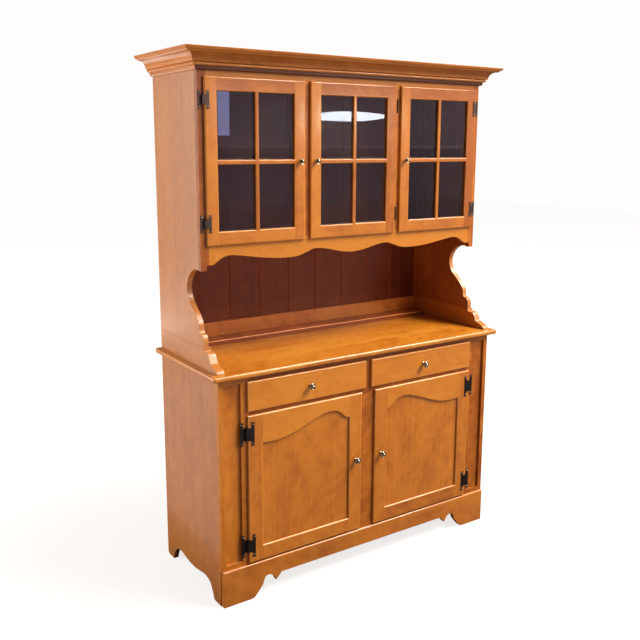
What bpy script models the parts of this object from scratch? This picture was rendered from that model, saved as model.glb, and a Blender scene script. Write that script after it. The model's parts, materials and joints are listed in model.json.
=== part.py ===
"""China hutch in maple: a lower cabinet with two drawers over two cupboard doors, a counter with a
low gallery, and an upper cabinet on scroll-cut sides with three glazed doors under a crown moulding.

Metres, +Z up, the front faces -Y, and the origin is on the floor under the middle of the piece.
Every board is drawn from the plane of the lower face frame, where y is zero, and the middle of its
width; the empty hutch_frame then carries the whole piece to its place over the origin.
"""

import math

import bmesh
import bpy
from mathutils import Matrix, Vector

# Driving sizes of the whole piece
CASE_WIDTH = 1.220
CASE_DEPTH = 0.452
OVERALL_HEIGHT = 1.849
COUNTER_HEIGHT = 0.820
UPPER_SET_BACK = 0.104

# Stock and fits
BOARD = 0.019
THIN_BOARD = 0.015
GAP = 0.0003
RUN = 0.0015
OVERRUN = 0.004

# Counter and gallery
COUNTER_THICKNESS = 0.019
COUNTER_FRONT_OVERHANG = 0.021
COUNTER_END_OVERHANG = 0.0235
COUNTER_ROUND = 0.007
HOUSING_DEPTH = 0.002
GALLERY_HEIGHT = 0.0715
GALLERY_NOSE = 0.0035
GALLERY_TOP_SET_BACK = 0.0975
GALLERY_EXTRA = 0.009
LEDGE_DEPTH = 0.072
LEDGE_ROUND = 0.004

# Lower cabinet
APRON_HEIGHT = 0.131
APRON_PROUD = 0.010
APRON_END_INSET = 0.003
APRON_ROUND = 0.006
APRON_RAIL_BOTTOM = 0.0665
FOOT_RUN = 0.230
SIDE_ARCH_HEIGHT = 0.062
FRONT_FOOT_DEPTH = 0.061
BACK_FOOT_DEPTH = 0.053
BACK_FOOT_ROUND = 0.012
OUTER_STRIP = 0.0185
PILASTER_WIDTH = 0.064
PILASTER_DEPTH = 0.009
PILASTER_FOOT_STRIP = 0.015
PILASTER_HEAD_STRIP = 0.020
RIDGE_WIDTH = 0.0205
CENTRE_STRIP = 0.060
DRAWER_STRIP = 0.023
DRAWER_TOP_STRIP = 0.016
DRAWER_DOOR_STRIP = 0.013
DOOR_FOOT_STRIP = 0.005
LOWER_BACK = 0.006
SHELF_HEIGHT = 0.400
SHELF_SET_BACK = 0.060

# Drawers
DRAWER_FACE_HEIGHT = 0.105
DRAWER_BOX_DEPTH = 0.380
DRAWER_BOX_WALL = 0.012
DRAWER_BOTTOM = 0.006
DRAWER_BOX_DROP = 0.006
DRAWER_TRAVEL = 0.300
GUIDE_WIDTH = 0.018
GUIDE_HEIGHT = 0.015

# Lipped doors and drawer faces
LIP_OVERLAP = 0.010
LIP_THICKNESS = 0.010
TONGUE_DEPTH = 0.009
LIP_ROUND = 0.005
ARRIS = 0.0018
PANEL_ARRIS = 0.0045
RABBET_WIDTH = 0.009

# Lower doors
LOWER_STILE = 0.0575
LOWER_BOTTOM_RAIL = 0.054
LOWER_PANEL = 0.006
LOWER_RABBET = 0.0125
SCROLL_RISE = 0.060
SCROLL_TOP_RAIL = 0.0475

# Upper cabinet
UPPER_OUTER_STRIP = 0.020
UPPER_MULLION_STRIP = 0.021
UPPER_DOOR_HEIGHT_SHARE = 0.5608
UPPER_DOOR_TOP_STRIP = 0.0175
VALANCE_LOW = 0.0595
VALANCE_RISE = 0.0245
END_BLOCK_DROP = 0.022
END_BLOCK_WIDTH = 0.021
CROWN_HEIGHT = 0.0655
CROWN_RISE = 0.015
UPPER_BACK = 0.009
PLANKS = 9
V_GROOVE_WIDTH = 0.005
V_GROOVE_DEPTH = 0.0025
UPPER_SHELF_SET_BACK = 0.035
C_SCROLL_DEPTH = 0.112
SIDE_NECK_DEPTH = 0.025

# Upper doors
UPPER_STILE = 0.045
MUNTIN = 0.015
MUNTIN_DEPTH = 0.007
MUNTIN_SET_BACK = 0.001
GLASS = 0.003
GLASS_CLEARANCE = 0.0015

# Crown
CROWN_REACH = 0.0655

# Knobs
LOWER_KNOB_RADIUS = 0.0125
UPPER_KNOB_RADIUS = 0.0098

# Hinges
LEAF = 0.0015
LOWER_HINGE_HEIGHT = 0.082
LOWER_HINGE_BAR = 0.013
LOWER_HINGE_REACH = 0.026
LOWER_BARREL_RADIUS = 0.0036
LOWER_HINGE_FROM_END = 0.0640
UPPER_HINGE_HEIGHT = 0.057
UPPER_HINGE_BAR = 0.0115
UPPER_HINGE_REACH = 0.0185
UPPER_BARREL_RADIUS = 0.0030
UPPER_HINGE_FROM_END = 0.0725
BUTT_HINGE_HEIGHT = 0.050
BUTT_LEAF = 0.0010
BUTT_ROOT = 0.003
PIN_SHARE = 0.42
BARREL_SHARE = 0.54
FLARE_SHARE = 0.10
FLARE_RUN_SHARE = 0.16
BARREL_SIDES = 14
KNOB_SIDES = 18
CURVE_STEPS = 4

# Sizes worked out from the driving ones
HALF = CASE_WIDTH / 2
SIDE_INNER = HALF - BOARD
CARCASE_TOP = COUNTER_HEIGHT - COUNTER_THICKNESS
CASE_FRONT = BOARD + GAP
DOOR_OUTER = HALF - OUTER_STRIP - PILASTER_WIDTH - RIDGE_WIDTH
DOOR_INNER = CENTRE_STRIP / 2
DRAWER_INNER = DRAWER_STRIP / 2
DRAWER_HIGH = CARCASE_TOP - DRAWER_TOP_STRIP
DRAWER_LOW = DRAWER_HIGH - DRAWER_FACE_HEIGHT
DOOR_HIGH = DRAWER_LOW - DRAWER_DOOR_STRIP
DOOR_LOW = APRON_HEIGHT + DOOR_FOOT_STRIP
LOWER_BACK_FRONT = CASE_DEPTH - LOWER_BACK
GALLERY_TOP = COUNTER_HEIGHT + GALLERY_HEIGHT
GALLERY_LEFT = (-HALF, -SIDE_INNER + GALLERY_EXTRA)
GALLERY_RIGHT = (SIDE_INNER, HALF + GALLERY_EXTRA)
UPPER_BASE = GALLERY_TOP + GAP
CROWN_LOW = OVERALL_HEIGHT - CROWN_HEIGHT
UPPER_TOP = OVERALL_HEIGHT - CROWN_RISE
UPPER_DOOR_HEIGHT = UPPER_DOOR_HEIGHT_SHARE * (OVERALL_HEIGHT - GALLERY_TOP)
UPPER_DOOR_HIGH = CROWN_LOW - UPPER_DOOR_TOP_STRIP
UPPER_DOOR_LOW = UPPER_DOOR_HIGH - UPPER_DOOR_HEIGHT
UPPER_DOOR_OUTER = HALF - UPPER_OUTER_STRIP
UPPER_DOOR_WIDTH = (2 * UPPER_DOOR_OUTER - 2 * UPPER_MULLION_STRIP) / 3
UPPER_DOOR_INNER = UPPER_DOOR_OUTER - UPPER_DOOR_WIDTH
MIDDLE_DOOR_EDGE = UPPER_DOOR_WIDTH / 2
UPPER_FRAME_FRONT = UPPER_SET_BACK
UPPER_CASE_FRONT = UPPER_SET_BACK + BOARD + GAP
UPPER_BACK_FRONT = CASE_DEPTH - UPPER_BACK
VALANCE_BOTTOM = UPPER_DOOR_LOW - VALANCE_LOW
STILE_BOTTOM = VALANCE_BOTTOM - END_BLOCK_DROP
LIP_BACK = GAP
LIP_FRONT = LIP_BACK + LIP_THICKNESS
KNOB_LENGTH_SHARE = 2.12
FRONT_REACH = LIP_FRONT + GAP + LOWER_KNOB_RADIUS * KNOB_LENGTH_SHARE
MIDDLE_OF_DEPTH = (CASE_DEPTH - FRONT_REACH) / 2

for old in list(bpy.data.objects):
    bpy.data.objects.remove(old, do_unlink=True)


def srgb(hex_code):
    """Linear colour of a web colour such as C8803C."""
    linear = []
    for place in (0, 2, 4):
        value = int(hex_code[place : place + 2], 16) / 255
        linear.append(value / 12.92 if value <= 0.04045 else ((value + 0.055) / 1.055) ** 2.4)
    return (*linear, 1.0)


def material(name, hex_code, roughness, metallic=0.0):
    made = bpy.data.materials.new(name)
    made.use_nodes = True
    shader = made.node_tree.nodes["Principled BSDF"]
    shader.inputs["Base Color"].default_value = srgb(hex_code)
    shader.inputs["Roughness"].default_value = roughness
    shader.inputs["Metallic"].default_value = metallic
    made.diffuse_color = srgb(hex_code)
    return made


def empty(name, place, parent=None):
    made = bpy.data.objects.new(name, None)
    made.location = place
    made.parent = parent
    bpy.context.scene.collection.objects.link(made)
    return made


hutch_frame = empty("hutch_frame", (0, -MIDDLE_OF_DEPTH, 0))


def seated(name, mesh, finish, carrier=None, place=(0, 0, 0)):
    """Link an object that was drawn in the frame of the case, carried by a joint's empty or by the case."""
    made = bpy.data.objects.new(name, mesh)
    carrier = carrier or hutch_frame
    offset = Vector((0, 0, 0)) if carrier is hutch_frame else -carrier.location
    made.parent = carrier
    made.location = Vector(place) + offset
    if finish is not None:
        mesh.materials.clear()
        mesh.materials.append(finish)
    bpy.context.scene.collection.objects.link(made)
    return made


def mesh_of(name, shape):
    bmesh.ops.recalc_face_normals(shape, faces=shape.faces)
    mesh = bpy.data.meshes.new(name)
    shape.to_mesh(mesh)
    shape.free()
    return mesh


def box_mesh(name, x, y, z):
    """A block between the two x, the two y and the two z."""
    shape = bmesh.new()
    bmesh.ops.create_cube(shape, size=1.0)
    size = Vector((x[1] - x[0], y[1] - y[0], z[1] - z[0]))
    middle = Vector((x[0] + x[1], y[0] + y[1], z[0] + z[1])) / 2
    bmesh.ops.scale(shape, vec=size, verts=shape.verts)
    bmesh.ops.translate(shape, vec=middle, verts=shape.verts)
    return mesh_of(name, shape)


def prism_mesh(name, outline, along, low, high):
    """The outline, extruded along one axis from low to high. Its points are the other two coordinates."""
    shape = bmesh.new()
    corners = []
    for first, second in outline:
        point = [first, second]
        point.insert("XYZ".index(along), low)
        corners.append(shape.verts.new(point))
    face = shape.faces.new(corners)
    made = bmesh.ops.extrude_face_region(shape, geom=[face])
    shift = Vector((0, 0, 0))
    shift["XYZ".index(along)] = high - low
    moved = [item for item in made["geom"] if isinstance(item, bmesh.types.BMVert)]
    bmesh.ops.translate(shape, vec=shift, verts=moved)
    return mesh_of(name, shape)


def turned_mesh(name, profile, sides):
    """A shape turned about Y, whose profile is pairs of radius and distance in front of the face."""
    shape = bmesh.new()
    points = [shape.verts.new((radius, -front, 0)) for radius, front in profile]
    edges = [shape.edges.new(pair) for pair in zip(points, points[1:])]
    bmesh.ops.spin(
        shape,
        geom=points + edges,
        cent=(0, 0, 0),
        axis=(0, 1, 0),
        angle=math.tau,
        steps=sides,
        use_duplicate=False,
    )
    bmesh.ops.remove_doubles(shape, verts=shape.verts, dist=GAP / 10)
    return mesh_of(name, shape)


def rod_mesh(name, radius, low, high, sides=BARREL_SIDES):
    """An upright rod on the Z axis."""
    shape = bmesh.new()
    bmesh.ops.create_cone(
        shape, cap_ends=True, segments=sides, radius1=radius, radius2=radius, depth=high - low
    )
    bmesh.ops.translate(shape, vec=(0, 0, (low + high) / 2), verts=shape.verts)
    return mesh_of(name, shape)


def cutter(name, mesh, carrier=None, place=(0, 0, 0)):
    made = seated(name, mesh, None, carrier, place)
    made.hide_render = True
    made.display_type = "WIRE"
    return made


def combine(body, tool, operation):
    change = body.modifiers.new(tool.name, "BOOLEAN")
    change.operation = operation
    change.solver = "EXACT"
    change.object = tool


def cut(body, *tools):
    for tool in tools:
        combine(body, tool, "DIFFERENCE")


def join(body, *tools):
    for tool in tools:
        combine(body, tool, "UNION")


def settled(body):
    """The body's mesh with its modifiers applied, to be shared by copies of the same piece."""
    bpy.context.view_layer.update()
    graph = bpy.context.evaluated_depsgraph_get()
    mesh = bpy.data.meshes.new_from_object(body.evaluated_get(graph))
    tools = [change.object for change in body.modifiers if change.type == "BOOLEAN"]
    for spent in [body] + tools:
        bpy.data.objects.remove(spent, do_unlink=True)
    return mesh


def flowing(points, steps=CURVE_STEPS):
    """A smooth curve through the points, with a few more between each pair."""
    ends = [points[0]] + list(points) + [points[-1]]
    curve = [points[0]]
    for a, b, c, d in zip(ends, ends[1:], ends[2:], ends[3:]):
        for step in range(1, steps + 1):
            t = step / steps
            curve.append(
                tuple(
                    (
                        2 * q
                        + (r - p) * t
                        + (2 * p - 5 * q + 4 * r - s) * t**2
                        + (3 * q - p - 3 * r + s) * t**3
                    )
                    / 2
                    for p, q, r, s in zip(a, b, c, d)
                )
            )
    return curve


def arc(centre, radii, start, end, steps):
    """Points on an ellipse from one angle to another, in degrees."""
    points = []
    for step in range(steps + 1):
        angle = math.radians(start + (end - start) * step / steps)
        points.append((centre[0] + radii[0] * math.cos(angle), centre[1] + radii[1] * math.sin(angle)))
    return points


def spread(shares, origin, size):
    """Outline points from pairs of shares of a size, counted from an origin."""
    return [(origin[0] + a * size[0], origin[1] + b * size[1]) for a, b in shares]


def both_sides(half_outline):
    """The whole of an outline drawn from the middle to the right, mirrored to the left."""
    left = [(-x, z) for x, z in reversed(half_outline)]
    if abs(half_outline[0][0]) < GAP:
        left = left[:-1]
    return left + list(half_outline)


def rounded(body, width, segments=3):
    """Round the edges that carry a bevel weight."""
    soft = body.modifiers.new("rounded_edges", "BEVEL")
    soft.width = width
    soft.segments = segments
    soft.limit_method = "WEIGHT"
    soft.use_clamp_overlap = True


def weigh(mesh, wanted):
    """Mark the edges that the test picks, from the two end points of each, for rounding."""
    weights = mesh.attributes.new("bevel_weight_edge", "FLOAT", "EDGE")
    for edge in mesh.edges:
        a, b = (mesh.vertices[index].co for index in edge.vertices)
        weights.data[edge.index].value = 1.0 if wanted(a, b) else 0.0


# Finishes
FRONT_MAPLE = material("front_maple", "D08A44", 0.35)
SIDE_MAPLE = material("side_maple", "C48C62", 0.38)
COUNTER_MAPLE = material("counter_maple", "E08C34", 0.28)
CROWN_MAPLE = material("crown_maple", "8E4A22", 0.35)
BACK_MAPLE = material("back_maple", "6A3822", 0.45)
INSIDE_WOOD = material("inside_wood", "B98A5E", 0.55)
PANE = material("pane", "4A4148", 0.08)
BLACK_IRON = material("black_iron", "1E1B1A", 0.45, 0.9)
DARK_PEWTER = material("dark_pewter", "5A5049", 0.40, 0.9)
KNOB_METAL = material("knob_metal", "B59A62", 0.25, 1.0)


# Lower cabinet: sides with a scroll cut between the front and back feet
SIDE_ARCH_SHARES = (
    (0.00, 0.00),
    (0.02, 0.30),
    (0.07, 0.75),
    (0.13, 0.93),
    (0.20, 1.00),
    (0.29, 0.94),
    (0.41, 0.83),
    (0.50, 0.815),
    (0.59, 0.83),
    (0.71, 0.94),
    (0.80, 1.00),
    (0.87, 0.93),
    (0.93, 0.75),
    (0.98, 0.30),
    (1.00, 0.00),
)
NOTCH_FRONT = BOARD - APRON_PROUD + GAP
arch_span = CASE_DEPTH - BACK_FOOT_DEPTH - FRONT_FOOT_DEPTH
side_arch = flowing(spread(SIDE_ARCH_SHARES, (FRONT_FOOT_DEPTH, 0), (arch_span, SIDE_ARCH_HEIGHT)), 2)
lower_side_outline = (
    [(CASE_FRONT, CARCASE_TOP - GAP), (CASE_FRONT, APRON_HEIGHT + GAP)]
    + [(NOTCH_FRONT, APRON_HEIGHT + GAP), (NOTCH_FRONT, 0)]
    + side_arch
    + arc((CASE_DEPTH - BACK_FOOT_ROUND, BACK_FOOT_ROUND), (BACK_FOOT_ROUND, BACK_FOOT_ROUND), -90, 0, 3)
    + [(CASE_DEPTH, CARCASE_TOP - GAP)]
)
for side, sign in (("left", -1), ("right", 1)):
    walls = sorted((sign * SIDE_INNER, sign * HALF))
    mesh = prism_mesh("lower_side", lower_side_outline, "X", *walls)
    seated(f"base_{side}_side", mesh, SIDE_MAPLE)

inner_width = (-SIDE_INNER + GAP, SIDE_INNER - GAP)
behind_frame = (CASE_FRONT, LOWER_BACK_FRONT - GAP)
DECK_TOP = DOOR_LOW + LIP_OVERLAP
mesh = box_mesh("deck", inner_width, behind_frame, (DECK_TOP - THIN_BOARD, DECK_TOP))
seated("base_deck", mesh, INSIDE_WOOD)
mesh = box_mesh(
    "lower_back",
    inner_width,
    (LOWER_BACK_FRONT, CASE_DEPTH),
    (DECK_TOP - THIN_BOARD, CARCASE_TOP - GAP),
)
seated("base_back_panel", mesh, INSIDE_WOOD)
mesh = box_mesh(
    "lower_shelf",
    inner_width,
    (CASE_FRONT + SHELF_SET_BACK, LOWER_BACK_FRONT - GAP),
    (SHELF_HEIGHT - THIN_BOARD, SHELF_HEIGHT),
)
seated("base_shelf", mesh, INSIDE_WOOD)


# Lower face frame: sunk pilasters at the ends, openings for two drawers over two doors
def opening(low, high, overlap=LIP_OVERLAP):
    return (low + overlap, high - overlap)


door_opening_x = opening(DOOR_INNER, DOOR_OUTER)
door_opening_z = opening(DOOR_LOW, DOOR_HIGH)
drawer_opening_x = opening(DRAWER_INNER, DOOR_OUTER)
drawer_opening_z = opening(DRAWER_LOW, DRAWER_HIGH)
through_frame = (-OVERRUN, BOARD + OVERRUN)
mesh = box_mesh("lower_frame", (-HALF, HALF), (0, BOARD), (APRON_HEIGHT + GAP, CARCASE_TOP - GAP))
lower_frame = seated("base_face_frame", mesh, FRONT_MAPLE)
pilaster_x = (DOOR_OUTER + RIDGE_WIDTH, DOOR_OUTER + RIDGE_WIDTH + PILASTER_WIDTH)
pilaster_z = (APRON_HEIGHT + PILASTER_FOOT_STRIP, CARCASE_TOP - PILASTER_HEAD_STRIP)
for side, sign in (("left", -1), ("right", 1)):
    for place, x, y, z in (
        ("door", door_opening_x, through_frame, door_opening_z),
        ("drawer", drawer_opening_x, through_frame, drawer_opening_z),
        ("pilaster", pilaster_x, (-OVERRUN, PILASTER_DEPTH), pilaster_z),
    ):
        span = sorted((sign * x[0], sign * x[1]))
        tool = cutter(f"{side}_{place}_cutter", box_mesh("cutter", span, y, z))
        cut(lower_frame, tool)


# Apron: bracket feet, a drop and an arch beside each, and a rounded top edge
FOOT_SHARES = (
    (0.000, 0.508),
    (0.052, 0.405),
    (0.100, 0.320),
    (0.126, 0.425),
    (0.165, 0.500),
    (0.215, 0.540),
    (0.255, 0.545),
    (0.290, 0.508),
    (0.310, 0.440),
    (0.329, 0.335),
    (0.377, 0.222),
    (0.447, 0.083),
    (0.490, 0.020),
    (0.545, 0.000),
)
apron_end = HALF - APRON_END_INSET
foot_points = spread(FOOT_SHARES, (apron_end - FOOT_RUN, 0), (FOOT_RUN, APRON_HEIGHT))
foot_curve = foot_points[:2] + flowing(foot_points[2:], 3)
apron_half = foot_curve + [(apron_end, 0), (apron_end, APRON_HEIGHT)]
mesh = prism_mesh("apron", both_sides(apron_half), "Y", -APRON_PROUD, BOARD - APRON_PROUD)
weigh(mesh, lambda a, b: a.y < 0 and b.y < 0 and min(a.z, b.z) > APRON_HEIGHT - GAP)
apron = seated("base_apron", mesh, FRONT_MAPLE)
rounded(apron, APRON_ROUND)

# Dust board under the drawers, with the strips that guide the drawer boxes
DUST_TOP = drawer_opening_z[0] - GAP
mesh = box_mesh("dust_board", inner_width, behind_frame, (DUST_TOP - THIN_BOARD, DUST_TOP))
dust_board = seated("drawer_dust_board", mesh, INSIDE_WOOD)
box_outer = (drawer_opening_x[0] + RUN, drawer_opening_x[1] - RUN)
guide_y = (CASE_FRONT + GUIDE_WIDTH, LOWER_BACK_FRONT - GUIDE_WIDTH)
guide_z = (DUST_TOP - THIN_BOARD / 2, DUST_TOP + GUIDE_HEIGHT)
for name, x in (
    ("left_guide", (-box_outer[1] - RUN - GUIDE_WIDTH, -box_outer[1] - RUN)),
    ("middle_guide", (RUN - box_outer[0], box_outer[0] - RUN)),
    ("right_guide", (box_outer[1] + RUN, box_outer[1] + RUN + GUIDE_WIDTH)),
):
    join(dust_board, cutter(name, box_mesh(name, x, guide_y, guide_z)))


# Counter, with rounded front and ends
counter_x = (GALLERY_LEFT[0] - COUNTER_END_OVERHANG, GALLERY_RIGHT[1] + COUNTER_END_OVERHANG)
mesh = box_mesh(
    "counter", counter_x, (-COUNTER_FRONT_OVERHANG, CASE_DEPTH), (CARCASE_TOP, COUNTER_HEIGHT)
)


def on_counter_edge(a, b):
    front = a.y < 0 and b.y < 0
    end = abs(a.x) > HALF and abs(b.x) > HALF and a.x * b.x > 0 and abs(a.z - b.z) < GAP
    return front or end


weigh(mesh, on_counter_edge)
counter = seated("counter_top", mesh, COUNTER_MAPLE)
rounded(counter, COUNTER_ROUND)

# Shallow housings in the counter, into which the gallery's brackets, board and ledge are let
gallery_board_front = CASE_DEPTH - BOARD
ledge_y = (gallery_board_front - GAP - LEDGE_DEPTH, gallery_board_front - GAP)
housing_z = (COUNTER_HEIGHT - HOUSING_DEPTH, COUNTER_HEIGHT + OVERRUN)
housing_back = CASE_DEPTH + OVERRUN
for place, x, front in (
    ("left", GALLERY_LEFT, GALLERY_NOSE),
    ("right", GALLERY_RIGHT, GALLERY_NOSE),
    ("back", (GALLERY_LEFT[1] - OVERRUN, GALLERY_RIGHT[0] + OVERRUN), ledge_y[0]),
):
    tool = box_mesh("housing", (x[0] - GAP, x[1] + GAP), (front - GAP, housing_back), housing_z)
    cut(counter, cutter(f"{place}_housing_cutter", tool))

# Gallery: two scroll brackets, a back board and a ledge. The brackets are thicker than the sides that
# stand on them, and the upper cabinet is set flush with the outside of the left one
BRACKET_STEP_SHARES = ((1.000, 1.000), (1.000, 0.860))
BRACKET_SHOULDER_SHARES = (
    (0.800, 0.850),
    (0.735, 0.835),
    (0.680, 0.790),
    (0.622, 0.690),
    (0.560, 0.535),
    (0.500, 0.400),
)
BRACKET_NOSE_SHARES = (
    (0.500, 0.400),
    (0.415, 0.350),
    (0.320, 0.300),
    (0.225, 0.255),
    (0.125, 0.205),
    (0.045, 0.135),
    (0.005, 0.055),
    (0.000, 0.000),
)
GALLERY_BASE = COUNTER_HEIGHT - HOUSING_DEPTH + GAP
bracket_size = (GALLERY_TOP_SET_BACK - GALLERY_NOSE, GALLERY_HEIGHT)
bracket_foot = (GALLERY_NOSE, COUNTER_HEIGHT)
bracket_outline = (
    spread(BRACKET_STEP_SHARES, bracket_foot, bracket_size)
    + flowing(spread(BRACKET_SHOULDER_SHARES, bracket_foot, bracket_size), 2)
    + flowing(spread(BRACKET_NOSE_SHARES, bracket_foot, bracket_size), 2)[1:]
    + [(GALLERY_NOSE, GALLERY_BASE), (CASE_DEPTH, GALLERY_BASE), (CASE_DEPTH, GALLERY_TOP)]
)
for side, walls in (("left", GALLERY_LEFT), ("right", GALLERY_RIGHT)):
    mesh = prism_mesh("bracket", bracket_outline, "X", *walls)
    seated(f"gallery_{side}_bracket", mesh, SIDE_MAPLE)
between_brackets = (GALLERY_LEFT[1] + GAP, GALLERY_RIGHT[0] - GAP)
board_y = (gallery_board_front, CASE_DEPTH)
mesh = box_mesh("gallery_board", between_brackets, board_y, (GALLERY_BASE, GALLERY_TOP))
seated("gallery_back_board", mesh, FRONT_MAPLE)
mesh = box_mesh("ledge", between_brackets, ledge_y, (GALLERY_BASE, COUNTER_HEIGHT + BOARD))
weigh(mesh, lambda a, b: max(a.y, b.y) < ledge_y[0] + GAP and min(a.z, b.z) > GALLERY_BASE + GAP)
ledge = seated("gallery_ledge", mesh, FRONT_MAPLE)
rounded(ledge, LEDGE_ROUND, 2)


# Upper sides: a C-scroll over the counter and a neck that stands on the gallery
C_SCROLL_SHARES = (
    (0.00, 1.000),
    (0.14, 1.008),
    (0.32, 1.008),
    (0.50, 0.995),
    (0.69, 0.955),
    (0.86, 0.885),
    (0.96, 0.810),
    (1.00, 0.745),
    (0.99, 0.680),
    (0.93, 0.610),
    (0.82, 0.545),
    (0.64, 0.480),
    (0.46, 0.415),
    (0.31, 0.345),
    (0.23, 0.280),
    (0.22, 0.215),
)
neck_front = UPPER_SET_BACK - GALLERY_NOSE
neck_size = (C_SCROLL_DEPTH, STILE_BOTTOM - UPPER_BASE)
scroll = flowing(spread(C_SCROLL_SHARES[1:], (UPPER_SET_BACK, UPPER_BASE), neck_size), 2)
NECK_STEP_SHARES = ((0.17, 0.180), (0.04, 0.165), (-0.02, 0.130), (-0.05, 0.080), (-0.05, 0.000))
neck = spread(NECK_STEP_SHARES, (UPPER_SET_BACK, UPPER_BASE), neck_size)
upper_side_outline = (
    [(UPPER_CASE_FRONT, UPPER_TOP), (UPPER_CASE_FRONT, STILE_BOTTOM + GAP)]
    + [point for point in scroll if point[0] > UPPER_CASE_FRONT or point[1] < STILE_BOTTOM - neck_size[1] / 4]
    + neck
    + [(CASE_DEPTH, UPPER_BASE), (CASE_DEPTH, UPPER_TOP)]
)
for side, sign in (("left", -1), ("right", 1)):
    walls = sorted((sign * SIDE_INNER, sign * HALF))
    mesh = prism_mesh("upper_side", upper_side_outline, "X", *walls)
    seated(f"hutch_{side}_side", mesh, SIDE_MAPLE)

# Upper shelves and top, between the sides and behind the face frame
UPPER_DECK_TOP = UPPER_DOOR_LOW + LIP_OVERLAP
UPPER_SHELF_MIDDLE = (UPPER_DOOR_LOW + UPPER_DOOR_HIGH) / 2
behind_upper_frame = (UPPER_CASE_FRONT, UPPER_BACK_FRONT - GAP)
behind_shelf_front = (UPPER_CASE_FRONT + UPPER_SHELF_SET_BACK, UPPER_BACK_FRONT - GAP)
for name, y, top, thickness in (
    ("hutch_deck", behind_upper_frame, UPPER_DECK_TOP, THIN_BOARD),
    ("hutch_shelf", behind_shelf_front, UPPER_SHELF_MIDDLE + THIN_BOARD / 2, THIN_BOARD),
    ("hutch_top_board", behind_upper_frame, UPPER_TOP, BOARD),
):
    seated(name, box_mesh(name, inner_width, y, (top - thickness, top)), INSIDE_WOOD)

# Upper back: upright planks with a V-groove at each joint
plank = (inner_width[1] - inner_width[0]) / PLANKS
back_outline = [(inner_width[0], CASE_DEPTH), (inner_width[0], UPPER_BACK_FRONT)]
for joint in range(1, PLANKS):
    x = inner_width[0] + joint * plank
    back_outline += [
        (x - V_GROOVE_WIDTH / 2, UPPER_BACK_FRONT),
        (x, UPPER_BACK_FRONT + V_GROOVE_DEPTH),
        (x + V_GROOVE_WIDTH / 2, UPPER_BACK_FRONT),
    ]
back_outline += [(inner_width[1], UPPER_BACK_FRONT), (inner_width[1], CASE_DEPTH)]
mesh = prism_mesh("upper_back", back_outline, "Z", UPPER_BASE, UPPER_TOP)
seated("hutch_back_panel", mesh, BACK_MAPLE)


# Upper face frame: three door openings over a scroll-cut bottom rail
VALANCE_SHARES = (
    (0.000, 0.02),
    (0.071, 0.18),
    (0.131, 0.47),
    (0.190, 0.80),
    (0.256, 1.00),
    (0.302, 0.90),
    (0.322, 0.62),
    (0.337, 0.62),
    (0.365, 0.32),
    (0.410, 0.07),
    (0.475, 0.00),
    (0.560, 0.08),
    (0.660, 0.36),
    (0.760, 0.74),
    (0.835, 0.97),
    (0.885, 0.88),
    (0.918, 0.52),
    (0.949, 0.00),
    (0.964, -0.16),
)
block_inner = HALF - END_BLOCK_WIDTH
valance_points = spread(VALANCE_SHARES, (0, VALANCE_BOTTOM), (block_inner, VALANCE_RISE))
valance_half = (
    flowing(valance_points[:7], 2)
    + flowing(valance_points[7:], 2)
    + [(block_inner, valance_points[-1][1]), (block_inner, STILE_BOTTOM), (HALF, STILE_BOTTOM)]
)
frame_half = valance_half + [(HALF, UPPER_TOP)]
frame_y = (UPPER_FRAME_FRONT, UPPER_FRAME_FRONT + BOARD)
mesh = prism_mesh("upper_frame", both_sides(frame_half), "Y", *frame_y)
upper_frame = seated("hutch_face_frame", mesh, FRONT_MAPLE)
upper_opening_z = opening(UPPER_DOOR_LOW, UPPER_DOOR_HIGH)
upper_openings = {
    "left": opening(-UPPER_DOOR_OUTER, -UPPER_DOOR_INNER),
    "middle": opening(-MIDDLE_DOOR_EDGE, MIDDLE_DOOR_EDGE),
    "right": opening(UPPER_DOOR_INNER, UPPER_DOOR_OUTER),
}
through_upper = (frame_y[0] - OVERRUN, frame_y[1] + OVERRUN)
for side, span in upper_openings.items():
    tool = cutter(f"{side}_opening_cutter", box_mesh("cutter", span, through_upper, upper_opening_z))
    cut(upper_frame, tool)


# Crown: one moulded section carried round the front and both ends, mitred at the front corners
FOOT_BAND_SHARES = ((0.000, 0.000), (0.100, 0.000), (0.155, 0.060), (0.155, 0.190), (0.215, 0.200))
BEAD_CENTRE_SHARES = (0.255, 0.270)
BEAD_RADIUS_SHARES = (0.055, 0.068)
COVE_CENTRE_SHARES = (0.750, 0.370)
COVE_RADIUS_SHARES = (0.375, 0.400)
TOP_BAND_SHARES = (
    (0.815, 0.770),
    (0.850, 0.800),
    (0.850, 0.845),
    (0.935, 0.855),
    (0.985, 0.940),
    (1.000, 1.000),
    (0.000, 1.000),
)
crown_shares = (
    list(FOOT_BAND_SHARES)
    + arc(BEAD_CENTRE_SHARES, BEAD_RADIUS_SHARES, -80, 80, 4)
    + arc(COVE_CENTRE_SHARES, COVE_RADIUS_SHARES, 180, 90, 6)
    + list(TOP_BAND_SHARES)
)
crown_profile = spread(crown_shares, (GAP, CROWN_LOW), (CROWN_REACH, CROWN_HEIGHT))


shape = bmesh.new()
rings = []
for x_side, y_place in ((-1, "back"), (-1, "front"), (1, "front"), (1, "back")):
    ring = []
    for reach, height in crown_profile:
        y = CASE_DEPTH if y_place == "back" else UPPER_SET_BACK - reach
        ring.append(shape.verts.new((x_side * (HALF + reach), y, height)))
    rings.append(ring)
for ring, following in zip(rings, rings[1:]):
    for index in range(len(ring)):
        after = (index + 1) % len(ring)
        shape.faces.new((ring[index], ring[after], following[after], following[index]))
shape.faces.new(rings[0])
shape.faces.new(rings[-1])
seated("crown_moulding", mesh_of("crown", shape), CROWN_MAPLE)


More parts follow.
